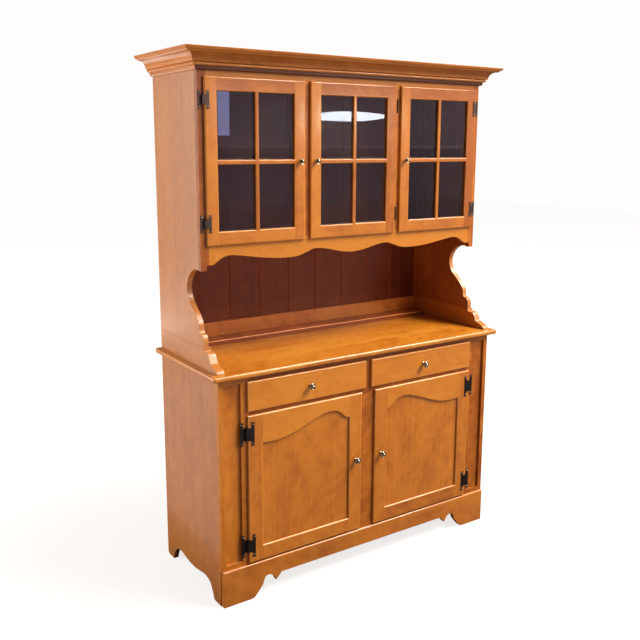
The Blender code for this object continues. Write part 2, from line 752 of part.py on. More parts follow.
# Lipped faces: a thick lip that laps the frame, with rounded front edges and a tongue behind it
def lipped_mesh(name, x, z, frame_front):
    shape = bmesh.new()
    back = frame_front - LIP_BACK
    front = frame_front - LIP_FRONT
    lip = (LIP_OVERLAP + RUN, LIP_OVERLAP + RUN)
    levels = (
        (front, (0, 0)),
        (back, (0, 0)),
        (back, lip),
        (frame_front + TONGUE_DEPTH, lip),
    )
    rings = []
    for y, (inset_x, inset_z) in levels:
        corners = (
            (x[0] + inset_x, z[0] + inset_z),
            (x[1] - inset_x, z[0] + inset_z),
            (x[1] - inset_x, z[1] - inset_z),
            (x[0] + inset_x, z[1] - inset_z),
        )
        rings.append([shape.verts.new((a, y, b)) for a, b in corners])
    for ring, following in zip(rings, rings[1:]):
        for index in range(4):
            after = (index + 1) % 4
            shape.faces.new((ring[index], ring[after], following[after], following[index]))
    shape.faces.new(rings[0])
    shape.faces.new(rings[-1])
    mesh = mesh_of(name, shape)
    weigh(mesh, lambda a, b: max(a.y, b.y) < front + GAP)
    return mesh


def opening_tool(name, outline, front, back, carrier, arris=ARRIS, steps=1):
    """A cutter along Y whose mouth flares, so that it leaves a small chamfer round the opening, or a
    round edge where it has more steps."""
    mouth = []
    for step in range(1, steps + 1):
        turn = math.pi / 2 * step / steps
        mouth.append((front + arris * (1 - math.cos(turn)), arris * (1 - math.sin(turn))))
    start = (mouth[0][0] - front, arris - mouth[0][1])
    flare = (front - OVERRUN, arris + OVERRUN * start[1] / start[0])
    shape = bmesh.new()
    count = len(outline)
    rings = []
    for y, grow in (flare, *mouth, (back + OVERRUN, 0)):
        ring = []
        for index in range(count):
            before = Vector(outline[index - 1])
            here = Vector(outline[index])
            after = Vector(outline[(index + 1) % count])
            first = (here - before).normalized()
            second = (after - here).normalized()
            away = Vector((first.y + second.y, -first.x - second.x)).normalized()
            stretch = 1 / max(0.5, math.sqrt((1 + first.dot(second)) / 2))
            moved = here + away * grow * stretch
            ring.append(shape.verts.new((moved.x, y, moved.y)))
        rings.append(ring)
    for ring, following in zip(rings, rings[1:]):
        for index in range(count):
            after = (index + 1) % count
            shape.faces.new((ring[index], ring[after], following[after], following[index]))
    shape.faces.new(rings[0])
    shape.faces.new(rings[-1])
    return cutter(name, mesh_of(name, shape), carrier)


def rectangle(x, z):
    return [(x[0], z[0]), (x[1], z[0]), (x[1], z[1]), (x[0], z[1])]


# Knobs, turned with a foot, a neck and a flattened ball
KNOB_SHARES = (
    (0.00, 0.00),
    (0.68, 0.00),
    (0.72, 0.10),
    (0.56, 0.22),
    (0.36, 0.36),
    (0.34, 0.66),
    (0.52, 0.84),
    (0.84, 1.04),
    (1.00, 1.36),
    (0.95, 1.66),
    (0.72, 1.92),
    (0.38, 2.07),
    (0.00, KNOB_LENGTH_SHARE),
)


def knob_mesh(name, radius):
    mesh = turned_mesh(name, [(a * radius, b * radius) for a, b in KNOB_SHARES], KNOB_SIDES)
    mesh.shade_smooth()
    return mesh


lower_knob = knob_mesh("lower_knob", LOWER_KNOB_RADIUS)
upper_knob = knob_mesh("upper_knob", UPPER_KNOB_RADIUS)


def knob(name, mesh, x, z, frame_front, carrier):
    return seated(name, mesh, KNOB_METAL, carrier, (x, frame_front - LIP_FRONT - GAP, z))


# Hinges: a bar with flared ends, a neck, and knuckles that interleave round one pin
def half_h(height, bar, reach, inner):
    """Half of an H in X and Z: the bar at the far side and the neck up to the barrel."""
    half = height / 2
    neck = half * BARREL_SHARE
    flare = bar * FLARE_SHARE
    waist = half * (1 - FLARE_RUN_SHARE)
    top = [
        (inner, neck),
        (reach - bar + flare, neck),
        (reach - bar + flare, waist),
        (reach - bar, half),
        (reach, half),
        (reach - flare, waist),
    ]
    return top + [(x, -z) for x, z in reversed(top)]


def barrel_lengths(barrel):
    """Heights of the middle knuckle and of the two outer ones, from the barrel's middle."""
    third = barrel / 6
    return (third - GAP / 2, third + GAP / 2, barrel / 2)


def door_leaf_mesh(name, height, bar, reach, radius, thickness):
    """Plate on the door's face with the middle knuckle. Its origin is on the pin."""
    barrel = height * BARREL_SHARE
    middle, _, _ = barrel_lengths(barrel)
    plate_y = (-radius, thickness - radius)
    outline = half_h(height, bar, reach, radius + GAP)
    plate = seated(name, prism_mesh(name, outline, "Y", *plate_y), None)
    strap = box_mesh("strap", (0, radius + bar / 2), plate_y, (-middle, middle))
    join(plate, cutter("door_strap", strap))
    join(plate, cutter("door_knuckle", rod_mesh("knuckle", radius, -middle, middle)))
    cut(plate, cutter("door_bore", rod_mesh("bore", radius * PIN_SHARE + GAP, -height, height)))
    return settled(plate)


def frame_leaf_mesh(name, height, bar, reach, radius, thickness, plate_back):
    """Plate on the frame's face with the outer knuckles and the pin. Its origin is on the pin."""
    barrel = height * BARREL_SHARE
    _, low, high = barrel_lengths(barrel)
    outline = [(-x, z) for x, z in half_h(height, bar, reach, radius - thickness)]
    plate = seated(name, prism_mesh(name, outline, "Y", plate_back - thickness, plate_back), None)
    for end, sign in (("upper", 1), ("lower", -1)):
        span = sorted((sign * low, sign * high))
        web = box_mesh("web", (-radius, thickness - radius), (0, plate_back), span)
        join(plate, cutter(f"{end}_web", web))
        join(plate, cutter(f"{end}_knuckle", rod_mesh("knuckle", radius, *span)))
    join(plate, cutter("pin", rod_mesh("pin", radius * PIN_SHARE, -high + GAP, high - GAP)))
    return settled(plate)


def hinge_pair(name, meshes, x, z, side, frame_front, door_pivot, finish, radius, thickness):
    """Seat both leaves of one hinge. On a right-hand door they are turned end for end."""
    y = frame_front - LIP_FRONT - GAP - thickness + radius
    turn = Matrix.Rotation(math.pi, 4, "Y") if side == "right" else Matrix.Identity(4)
    for part, mesh, carrier in (
        ("frame_leaf", meshes[0], hutch_frame),
        ("door_leaf", meshes[1], door_pivot),
    ):
        leaf = seated(f"{name}_{part}", mesh, finish, carrier, (x, y, z))
        leaf.rotation_euler = turn.to_euler()


lower_axis_y = -LIP_FRONT - GAP - LEAF + LOWER_BARREL_RADIUS
upper_axis_y = UPPER_SET_BACK - LIP_FRONT - GAP - LEAF + UPPER_BARREL_RADIUS
lower_leaves = (
    frame_leaf_mesh(
        "lower_frame_leaf",
        LOWER_HINGE_HEIGHT,
        LOWER_HINGE_BAR,
        LOWER_HINGE_REACH - LOWER_BARREL_RADIUS,
        LOWER_BARREL_RADIUS,
        LEAF,
        -GAP - lower_axis_y,
    ),
    door_leaf_mesh(
        "lower_door_leaf",
        LOWER_HINGE_HEIGHT,
        LOWER_HINGE_BAR,
        LOWER_HINGE_REACH + LOWER_BARREL_RADIUS,
        LOWER_BARREL_RADIUS,
        LEAF,
    ),
)
upper_leaves = (
    frame_leaf_mesh(
        "upper_frame_leaf",
        UPPER_HINGE_HEIGHT,
        UPPER_HINGE_BAR,
        UPPER_HINGE_REACH - UPPER_BARREL_RADIUS,
        UPPER_BARREL_RADIUS,
        LEAF,
        UPPER_SET_BACK - GAP - upper_axis_y,
    ),
    door_leaf_mesh(
        "upper_door_leaf",
        UPPER_HINGE_HEIGHT,
        UPPER_HINGE_BAR,
        UPPER_HINGE_REACH + UPPER_BARREL_RADIUS,
        UPPER_BARREL_RADIUS,
        LEAF,
    ),
)


# Lower doors: a scroll-cut frame, a flat panel in its rabbet, a knob and two H-hinges
SCROLL_SHARES = (
    (0.000, 0.40),
    (0.036, 0.42),
    (0.074, 0.61),
    (0.124, 0.85),
    (0.180, 0.978),
    (0.243, 1.00),
    (0.315, 0.94),
    (0.414, 0.74),
    (0.514, 0.52),
    (0.616, 0.29),
    (0.732, 0.09),
    (0.851, 0.00),
    (1.000, 0.03),
)
panel_low = DOOR_LOW + LOWER_BOTTOM_RAIL
panel_span = DOOR_OUTER - DOOR_INNER - 2 * LOWER_STILE
scroll_top = DOOR_HIGH - SCROLL_TOP_RAIL
for side, sign in (("left", -1), ("right", 1)):
    hinge_x = DOOR_OUTER + GAP + LOWER_BARREL_RADIUS
    pivot = empty(f"base_{side}_door_pivot", (sign * hinge_x, lower_axis_y, 0), hutch_frame)
    span = sorted((sign * DOOR_INNER, sign * DOOR_OUTER))
    name = f"base_{side}_door"
    mesh = lipped_mesh(name, span, (DOOR_LOW, DOOR_HIGH), 0)
    door = seated(f"{name}_frame", mesh, FRONT_MAPLE, pivot)
    rounded(door, LIP_ROUND)
    top = spread(
        SCROLL_SHARES, (DOOR_INNER + LOWER_STILE, scroll_top - SCROLL_RISE), (panel_span, SCROLL_RISE)
    )
    inner_edge = DOOR_INNER + LOWER_STILE
    outer_edge = DOOR_OUTER - LOWER_STILE
    outline = [(inner_edge, panel_low), (outer_edge, panel_low)] + flowing(top, 2)[::-1]
    outline = [(sign * x, z) for x, z in outline]
    if sign < 0:
        outline.reverse()
    tool = opening_tool(
        f"{name}_opening_cutter", outline, -LIP_FRONT, TONGUE_DEPTH, pivot, PANEL_ARRIS, 3
    )
    cut(door, tool)
    rabbet_x = sorted((sign * (inner_edge - RABBET_WIDTH), sign * (outer_edge + RABBET_WIDTH)))
    rabbet_z = (panel_low - RABBET_WIDTH, scroll_top + RABBET_WIDTH)
    rabbet_y = (TONGUE_DEPTH - LOWER_RABBET, TONGUE_DEPTH + OVERRUN)
    tool = box_mesh("rabbet", rabbet_x, rabbet_y, rabbet_z)
    cut(door, cutter(f"{name}_rabbet_cutter", tool, pivot))
    panel_x = (rabbet_x[0] + GAP, rabbet_x[1] - GAP)
    panel_z = (rabbet_z[0] + GAP, rabbet_z[1] - GAP)
    panel_y = (rabbet_y[0] + GAP, rabbet_y[0] + GAP + LOWER_PANEL)
    seated(f"{name}_panel", box_mesh("panel", panel_x, panel_y, panel_z), FRONT_MAPLE, pivot)
    knob_z = DOOR_LOW + LOWER_BOTTOM_RAIL / 2 + (DOOR_HIGH - DOOR_LOW - LOWER_BOTTOM_RAIL / 2) / 2
    knob(f"{name}_knob", lower_knob, sign * (DOOR_INNER + LOWER_STILE / 2), knob_z, 0, pivot)
    for level, z in (
        ("upper", DOOR_HIGH - LOWER_HINGE_FROM_END),
        ("lower", DOOR_LOW + LOWER_HINGE_FROM_END),
    ):
        hinge_pair(
            f"{name}_{level}_hinge",
            lower_leaves,
            sign * hinge_x,
            z,
            side,
            0,
            pivot,
            BLACK_IRON,
            LOWER_BARREL_RADIUS,
            LEAF,
        )


# Drawers: a lipped face, a box that is open above, and a knob
for side, sign in (("left", -1), ("right", 1)):
    name = f"{side}_drawer"
    slide = empty(f"{name}_slide", (sign * (DRAWER_INNER + DOOR_OUTER) / 2, 0, DRAWER_LOW), hutch_frame)
    span = sorted((sign * DRAWER_INNER, sign * DOOR_OUTER))
    face = seated(
        f"{name}_face", lipped_mesh(name, span, (DRAWER_LOW, DRAWER_HIGH), 0), FRONT_MAPLE, slide
    )
    rounded(face, LIP_ROUND)
    x = sorted((sign * box_outer[0], sign * box_outer[1]))
    y = (TONGUE_DEPTH + GAP, TONGUE_DEPTH + GAP + DRAWER_BOX_DEPTH)
    z = (drawer_opening_z[0] + GAP, drawer_opening_z[1] - DRAWER_BOX_DROP)
    body = seated(f"{name}_box", box_mesh("drawer_box", x, y, z), INSIDE_WOOD, slide)
    hollow = box_mesh(
        "hollow",
        (x[0] + DRAWER_BOX_WALL, x[1] - DRAWER_BOX_WALL),
        (y[0] + DRAWER_BOX_WALL, y[1] - DRAWER_BOX_WALL),
        (z[0] + DRAWER_BOTTOM, z[1] + OVERRUN),
    )
    cut(body, cutter(f"{name}_hollow_cutter", hollow, slide))
    knob(f"{name}_knob", lower_knob, sum(span) / 2, (DRAWER_LOW + DRAWER_HIGH) / 2, 0, slide)


# Upper doors: a frame with a cross of muntins, one pane behind it, and a knob
def glazed_door(name, span, pivot, knob_side):
    front = UPPER_SET_BACK - LIP_FRONT
    back = UPPER_SET_BACK + TONGUE_DEPTH
    mesh = lipped_mesh(name, span, (UPPER_DOOR_LOW, UPPER_DOOR_HIGH), UPPER_SET_BACK)
    door = seated(f"{name}_frame", mesh, FRONT_MAPLE, pivot)
    rounded(door, LIP_ROUND)
    sight_x = (span[0] + UPPER_STILE, span[1] - UPPER_STILE)
    sight_z = (UPPER_DOOR_LOW + UPPER_STILE, UPPER_DOOR_HIGH - UPPER_STILE)
    middle_x = sum(sight_x) / 2
    middle_z = sum(sight_z) / 2
    columns = {
        "left": (sight_x[0], middle_x - MUNTIN / 2),
        "right": (middle_x + MUNTIN / 2, sight_x[1]),
    }
    rows = {
        "lower": (sight_z[0], middle_z - MUNTIN / 2),
        "upper": (middle_z + MUNTIN / 2, sight_z[1]),
    }
    for column, x in columns.items():
        for row, z in rows.items():
            cut(door, opening_tool(f"{name}_{row}_{column}_cutter", rectangle(x, z), front, back, pivot))
    rabbet_x = (sight_x[0] - RABBET_WIDTH, sight_x[1] + RABBET_WIDTH)
    rabbet_z = (sight_z[0] - RABBET_WIDTH, sight_z[1] + RABBET_WIDTH)
    rabbet_front = front + MUNTIN_SET_BACK + MUNTIN_DEPTH
    tool = box_mesh("rabbet", rabbet_x, (rabbet_front, back + OVERRUN), rabbet_z)
    cut(door, cutter(f"{name}_rabbet_cutter", tool, pivot))
    pane = box_mesh(
        "pane",
        (rabbet_x[0] + GLASS_CLEARANCE, rabbet_x[1] - GLASS_CLEARANCE),
        (rabbet_front + GAP, rabbet_front + GAP + GLASS),
        (rabbet_z[0] + GLASS_CLEARANCE, rabbet_z[1] - GLASS_CLEARANCE),
    )
    seated(f"{name}_glass", pane, PANE, pivot)
    edge = span[0] + UPPER_STILE / 2 if knob_side == "left" else span[1] - UPPER_STILE / 2
    knob(f"{name}_knob", upper_knob, edge, middle_z, UPPER_SET_BACK, pivot)


upper_hinge_levels = (
    ("upper", UPPER_DOOR_HIGH - UPPER_HINGE_FROM_END),
    ("lower", UPPER_DOOR_LOW + UPPER_HINGE_FROM_END),
)
for side, sign, knob_side in (("left", -1, "right"), ("right", 1, "left")):
    name = f"hutch_{side}_door"
    hinge_x = sign * (UPPER_DOOR_OUTER + GAP + UPPER_BARREL_RADIUS)
    pivot = empty(f"{name}_pivot", (hinge_x, upper_axis_y, UPPER_DOOR_LOW), hutch_frame)
    span = sorted((sign * UPPER_DOOR_INNER, sign * UPPER_DOOR_OUTER))
    glazed_door(name, span, pivot, knob_side)
    for level, z in upper_hinge_levels:
        hinge_pair(
            f"{name}_{level}_hinge",
            upper_leaves,
            hinge_x,
            z,
            side,
            UPPER_SET_BACK,
            pivot,
            DARK_PEWTER,
            UPPER_BARREL_RADIUS,
            LEAF,
        )

# Middle door: its hinges are let into the edges, so only their barrels show in the gap
name = "hutch_middle_door"
butt_x = MIDDLE_DOOR_EDGE + GAP + UPPER_BARREL_RADIUS
pivot = empty(f"{name}_pivot", (butt_x, upper_axis_y, UPPER_DOOR_LOW), hutch_frame)
glazed_door(name, (-MIDDLE_DOOR_EDGE, MIDDLE_DOOR_EDGE), pivot, "left")
butt_middle, butt_low, butt_high = barrel_lengths(BUTT_HINGE_HEIGHT)
for level, z in upper_hinge_levels:
    leaf_x = (MIDDLE_DOOR_EDGE + GAP, MIDDLE_DOOR_EDGE + GAP + BUTT_LEAF)
    leaf_y = (upper_axis_y, UPPER_SET_BACK - LIP_BACK - GAP)
    plate = box_mesh("butt_leaf", leaf_x, leaf_y, (z - butt_middle, z + butt_middle))
    leaf = seated(f"{name}_{level}_hinge_leaf", plate, DARK_PEWTER, pivot)
    place = (butt_x, upper_axis_y, z)
    knuckle = rod_mesh("knuckle", UPPER_BARREL_RADIUS, -butt_middle, butt_middle)
    bore = rod_mesh("bore", UPPER_BARREL_RADIUS * PIN_SHARE + GAP, -butt_high, butt_high)
    join(leaf, cutter(f"{level}_butt_knuckle", knuckle, pivot, place))
    cut(leaf, cutter(f"{level}_butt_bore", bore, pivot, place))
    for end, sign in (("top", 1), ("bottom", -1)):
        span = sorted((sign * butt_low, sign * butt_high))
        rod = rod_mesh("knuckle", UPPER_BARREL_RADIUS, *span)
        join(upper_frame, cutter(f"{level}_{end}_frame_knuckle", rod, None, place))
        far_side = butt_x + UPPER_BARREL_RADIUS
        web = box_mesh(
            "web",
            (far_side - BUTT_LEAF, far_side),
            (upper_axis_y, UPPER_SET_BACK + BUTT_ROOT),
            (z + span[0], z + span[1]),
        )
        join(upper_frame, cutter(f"{level}_{end}_frame_web", web))
    pin = rod_mesh("pin", UPPER_BARREL_RADIUS * PIN_SHARE, GAP - butt_high, butt_high - GAP)
    join(upper_frame, cutter(f"{level}_butt_pin", pin, None, place))
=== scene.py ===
"""China hutch in stained maple: a lower cabinet with two drawers over two scroll-panelled doors, a
counter with a low gallery, and an upper cabinet with three glazed doors under a crown moulding.

Metres, +Z up, the front faces -Y. The file follows the piece from the floor up.
"""

import json
import math

import bpy
import numpy as np
from mathutils import Matrix, Vector

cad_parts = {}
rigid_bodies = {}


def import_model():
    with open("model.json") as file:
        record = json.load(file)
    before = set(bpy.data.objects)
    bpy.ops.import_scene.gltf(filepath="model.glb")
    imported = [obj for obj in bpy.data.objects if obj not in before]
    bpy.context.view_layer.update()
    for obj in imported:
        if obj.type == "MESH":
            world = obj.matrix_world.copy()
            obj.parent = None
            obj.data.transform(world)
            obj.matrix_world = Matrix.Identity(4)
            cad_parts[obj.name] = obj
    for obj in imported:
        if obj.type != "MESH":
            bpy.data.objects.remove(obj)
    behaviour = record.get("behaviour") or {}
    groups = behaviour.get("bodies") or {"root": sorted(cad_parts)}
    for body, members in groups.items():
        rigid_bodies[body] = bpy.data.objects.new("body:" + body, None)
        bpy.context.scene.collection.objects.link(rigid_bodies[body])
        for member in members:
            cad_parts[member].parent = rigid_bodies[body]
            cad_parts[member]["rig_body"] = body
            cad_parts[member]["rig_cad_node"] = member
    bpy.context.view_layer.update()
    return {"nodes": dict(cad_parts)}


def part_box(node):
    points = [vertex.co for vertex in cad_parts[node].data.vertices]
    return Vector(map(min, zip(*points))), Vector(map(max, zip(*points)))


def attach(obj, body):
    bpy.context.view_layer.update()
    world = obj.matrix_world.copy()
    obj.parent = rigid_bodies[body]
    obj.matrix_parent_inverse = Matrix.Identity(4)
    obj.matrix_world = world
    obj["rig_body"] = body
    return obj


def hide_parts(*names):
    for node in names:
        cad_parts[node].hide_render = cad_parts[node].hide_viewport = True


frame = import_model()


# Studio: a plain pale floor, and soft lamps all round: the key high on the right, one overhead, a long
# one in front, wide cards in front and on the left, and low cards for light that the floor throws up.
def linear(hex_code):
    """Linear colour of an sRGB hex value."""
    shares = [int(hex_code[place : place + 2], 16) / 255 for place in (0, 2, 4)]
    return (*((s / 12.92 if s <= 0.04045 else ((s + 0.055) / 1.055) ** 2.4) for s in shares), 1.0)


def add_node(tree, kind, sockets=(), **settings):
    """One node with its settings. Each socket takes a value, or the output that is linked to it."""
    made = tree.nodes.new(kind)
    for name, value in settings.items():
        setattr(made, name, value)
    for name, value in dict(sockets).items():
        if isinstance(value, bpy.types.NodeSocket):
            tree.links.new(value, made.inputs[name])
        else:
            made.inputs[name].default_value = value
    return made


def plain_material(name):
    """A new material with its own shader, and the two together."""
    made = bpy.data.materials.new(name)
    made.use_nodes = True
    return made, made.node_tree, made.node_tree.nodes["Principled BSDF"]


def camera_sees(tree, seen, unseen):
    """A number that is one thing to the camera and another to the light in the room."""
    ray = add_node(tree, "ShaderNodeLightPath").outputs["Is Camera Ray"]
    return add_node(
        tree, "ShaderNodeMapRange", {"Value": ray, "To Min": unseen, "To Max": seen}
    ).outputs["Result"]


# The camera sees a floor that glows, more so far out, where it fades into the pale air. To the light in
# the room it is a darker floor without a glow of its own.
FLOOR_SIZE = 30.0
FLOOR_SHADE_SEEN, FLOOR_SHADE_UNSEEN = 0.25, 0.12
AIR_SEEN, AIR_UNSEEN = 1.0, 0.14
floor_paint, tree, shader = plain_material("matt_floor_paint")
shade = camera_sees(tree, FLOOR_SHADE_SEEN, FLOOR_SHADE_UNSEEN)
tint = add_node(tree, "ShaderNodeCombineColor", {"Red": shade, "Green": shade, "Blue": shade})
tree.links.new(tint.outputs["Color"], shader.inputs["Base Color"])
shader.inputs["Emission Color"].default_value = linear("FFFDFB")
place = add_node(tree, "ShaderNodeTexCoord").outputs["Object"]
reach = add_node(tree, "ShaderNodeVectorMath", {"Vector": place}, operation="LENGTH")
glow = add_node(
    tree,
    "ShaderNodeMapRange",
    {"Value": reach.outputs["Value"], "From Min": 1.0, "From Max": 5.0, "To Min": 0.80, "To Max": 0.94},
)
seen_glow = camera_sees(tree, 1.0, 0.0)
glow = add_node(
    tree, "ShaderNodeMath", {0: glow.outputs["Result"], 1: seen_glow}, operation="MULTIPLY"
)
tree.links.new(glow.outputs["Value"], shader.inputs["Emission Strength"])
shader.inputs["Roughness"].default_value = 0.95
shader.inputs["Specular IOR Level"].default_value = 0.1
bpy.ops.mesh.primitive_plane_add(size=FLOOR_SIZE)
floor = bpy.context.active_object
floor.name = "floor"
floor.data.materials.append(floor_paint)

world = bpy.data.worlds.new("studio_air")
world.use_nodes = True
bpy.context.scene.world = world
background = world.node_tree.nodes["Background"]
background.inputs["Color"].default_value = linear("FFFDFB")
world.node_tree.links.new(
    camera_sees(world.node_tree, AIR_SEEN, AIR_UNSEEN), background.inputs["Strength"]
)
bpy.context.scene.view_settings.view_transform = "Standard"


def area_light(name, place, target, size, power, hex_code):
    bpy.ops.object.light_add(type="AREA", location=place)
    lamp = bpy.context.active_object
    lamp.name = name
    lamp.data.shape = "RECTANGLE"
    lamp.data.size, lamp.data.size_y = size
    lamp.data.energy = power
    lamp.data.color = linear(hex_code)[:3]
    lamp.rotation_euler = (Vector(target) - Vector(place)).to_track_quat("-Z", "Y").to_euler()
    lamp.visible_camera = False
    return lamp


area_light("key_light", (4.2, -3.3, 6.4), (0, 0, 0.9), (4.2, 0.77), 615, "FFF4E8")
area_light("overhead_light", (2.5, -1.3, 4.4), (0, -0.1, 1.1), (2.6, 3.0), 190, "FFFAF8")
area_light("long_front_light", (2.6, -3.3, 4.0), (0, 0, 1.2), (3.2, 0.5), 112, "FFF2E2")
area_light("front_card", (2.5, -3.2, 2.5), (0, -0.1, 1.6), (4.8, 2.0), 22, "FFF6F2")
area_light("low_front_card", (2.5, -3.2, 0.7), (0, -0.1, 1.1), (4.8, 1.7), 12, "FFF6F2")
area_light("left_card", (-3.0, 1.6, 1.3), (-0.6, 0.1, 0.9), (3.0, 2.6), 118, "FFF3EA")
area_light("low_card", (-1.55, 1.0, 0.02), (-1.55, 1.0, 1.0), (1.6, 2.6), 7, "FFF5EE")
area_light("back_card", (-0.9, 4.4, 0.02), (-0.9, 4.4, 1.0), (2.8, 1.6), 48, "FFF5EE")
area_light("front_bounce", (-0.75, -2.0, 0.02), (-0.75, -2.0, 1.0), (1.6, 1.2), 15, "FFF2E4")
# A long far lamp and a pale upright band, which the panes mirror.
area_light("long_lamp", (4.23, -6.0, 1.893), (-0.03, -0.1, 1.65), (1.0, 0.12), 10, "E8FFEC")
bpy.context.active_object.data.shape = "ELLIPSE"
area_light("pale_band", (2.54, -6.0, 1.96), (-0.5, -0.1, 1.65), (0.13, 0.62), 1.5, "C4DCFF")

CAMERA_PLACE = (-1.7336, -2.44575, 1.5561)
CAMERA_TURN = math.radians(33.816)
CAMERA_DOWN = math.radians(10.751)
CAMERA_ROLL = math.radians(0.1767)
bpy.ops.object.camera_add(location=CAMERA_PLACE)
camera = bpy.context.active_object
camera.rotation_euler = (
    Matrix.Rotation(-CAMERA_TURN, 3, "Z")
    @ Matrix.Rotation(math.pi / 2 - CAMERA_DOWN, 3, "X")
    @ Matrix.Rotation(CAMERA_ROLL, 3, "Z")
).to_euler()
camera.data.lens = 45.0
camera.data.sensor_width = 36.0
camera.data.shift_x = 0.00828
camera.data.shift_y = -0.03735
bpy.context.scene.camera = camera


# Lower cabinet, sides: solid maple, glued up from boards that stand upright, scroll-cut at the foot.
# The arrises are eased with sandpaper, and the stain is sprayed, so the tone is soft and even.
def only(piece):
    """Nothing but this piece is selected."""
    bpy.ops.object.select_all(action="DESELECT")
    piece.select_set(True)
    bpy.context.view_layer.objects.active = piece


def applied(piece, kind, **settings):
    """A modifier that is applied at once."""
    only(piece)
    change = piece.modifiers.new(kind, kind)
    for name, value in settings.items():
        setattr(change, name, value)
    bpy.ops.object.modifier_apply(modifier=change.name)


WELD = 0.00002
ONE_FLAT = math.radians(0.6)


def blank(node):
    """A welded copy of a CAD solid, which stands for it and rides where it rides."""
    solid = frame["nodes"][node]
    only(solid)
    bpy.ops.object.duplicate()
    piece = bpy.context.active_object
    piece.name = f"{node}_finished"
    del piece["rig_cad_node"]
    bpy.ops.object.mode_set(mode="EDIT")
    bpy.ops.mesh.select_all(action="SELECT")
    bpy.ops.mesh.remove_doubles(threshold=WELD)
    bpy.ops.mesh.dissolve_limited(angle_limit=ONE_FLAT)
    bpy.ops.object.mode_set(mode="OBJECT")
    piece.data.materials.clear()
    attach(piece, solid["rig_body"])
    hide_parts(node)
    return piece


def sliced(piece, axis, places):
    """Cuts edges across the piece at these places, where one board meets the next."""
    only(piece)
    bpy.ops.object.mode_set(mode="EDIT")
    normal = Vector((axis == "X", axis == "Y", axis == "Z"))
    for place in places:
        bpy.ops.mesh.select_all(action="SELECT")
        bpy.ops.mesh.bisect(plane_co=normal * place, plane_no=normal)
    bpy.ops.object.mode_set(mode="OBJECT")


SMOOTH = math.radians(50)


def eased(piece, arris, segments=2, angle=38):
    """Rounds the edges that are sharper than this angle, and keeps the flats flat."""
    applied(
        piece,
        "BEVEL",
        width=arris,
        segments=segments,
        limit_method="ANGLE",
        angle_limit=math.radians(angle),
        use_clamp_overlap=True,
    )
    bpy.ops.object.shade_smooth_by_angle(angle=SMOOTH)
    applied(piece, "WEIGHTED_NORMAL", keep_sharp=True, weight=80)


# Narrow faces on the eased edges are made paler: partly rubbed wear, partly a painted highlight.
RUBBED_AND_HIGHLIGHT_WIDTH = 0.0028
RUBBED_AND_HIGHLIGHT_PALER = 0.28
LOG_REACH = 9


def sawn(piece, board_at, stain_and_painted_light=0.0):
    """Lays each face on its board: the attribute grain holds the place in the log, with its last
    number along the fibres. board_at takes a face's middle and gives a number and the fibres' axis.
    The third argument is how much paler the board is, for the whole piece or by its number: on most
    boards the stain that took unevenly, on some painted light and painted shade. The eased edges are
    rubbed a little paler, and paler still as a painted highlight."""
    mesh = piece.data
    places = np.empty(len(mesh.vertices) * 3, np.float32)
    mesh.vertices.foreach_get("co", places)
    places = places.reshape(-1, 3)
    corners = np.empty(len(mesh.loops), np.int32)
    mesh.loops.foreach_get("vertex_index", corners)
    grain = np.empty((len(mesh.loops), 3), np.float32)
    stains_and_painted_light = np.zeros(len(mesh.polygons), np.float32)
    for face in mesh.polygons:
        number, axis = board_at(face.center)
        order = {"X": (1, 2, 0), "Y": (2, 0, 1), "Z": (0, 1, 2)}[axis]
        offset = [number * share % 1 * LOG_REACH for share in (0.618, 0.414, 0.732)]
        run = slice(face.loop_start, face.loop_start + face.loop_total)
        grain[run] = places[corners[run]][:, order] + offset
        stains_and_painted_light[face.index] = stain_and_painted_light.get(number, 0.0) if isinstance(stain_and_painted_light, dict) else stain_and_painted_light
        length = max((mesh.vertices[a].co - mesh.vertices[b].co).length for a, b in face.edge_keys)
        if face.area / length < RUBBED_AND_HIGHLIGHT_WIDTH:
            stains_and_painted_light[face.index] += RUBBED_AND_HIGHLIGHT_PALER
    made = mesh.attributes.new("grain", "FLOAT_VECTOR", "CORNER")
    made.data.foreach_set("vector", grain.ravel())
    made = mesh.attributes.new("stain_and_painted_light", "FLOAT", "FACE")
    made.data.foreach_set("value", stains_and_painted_light)


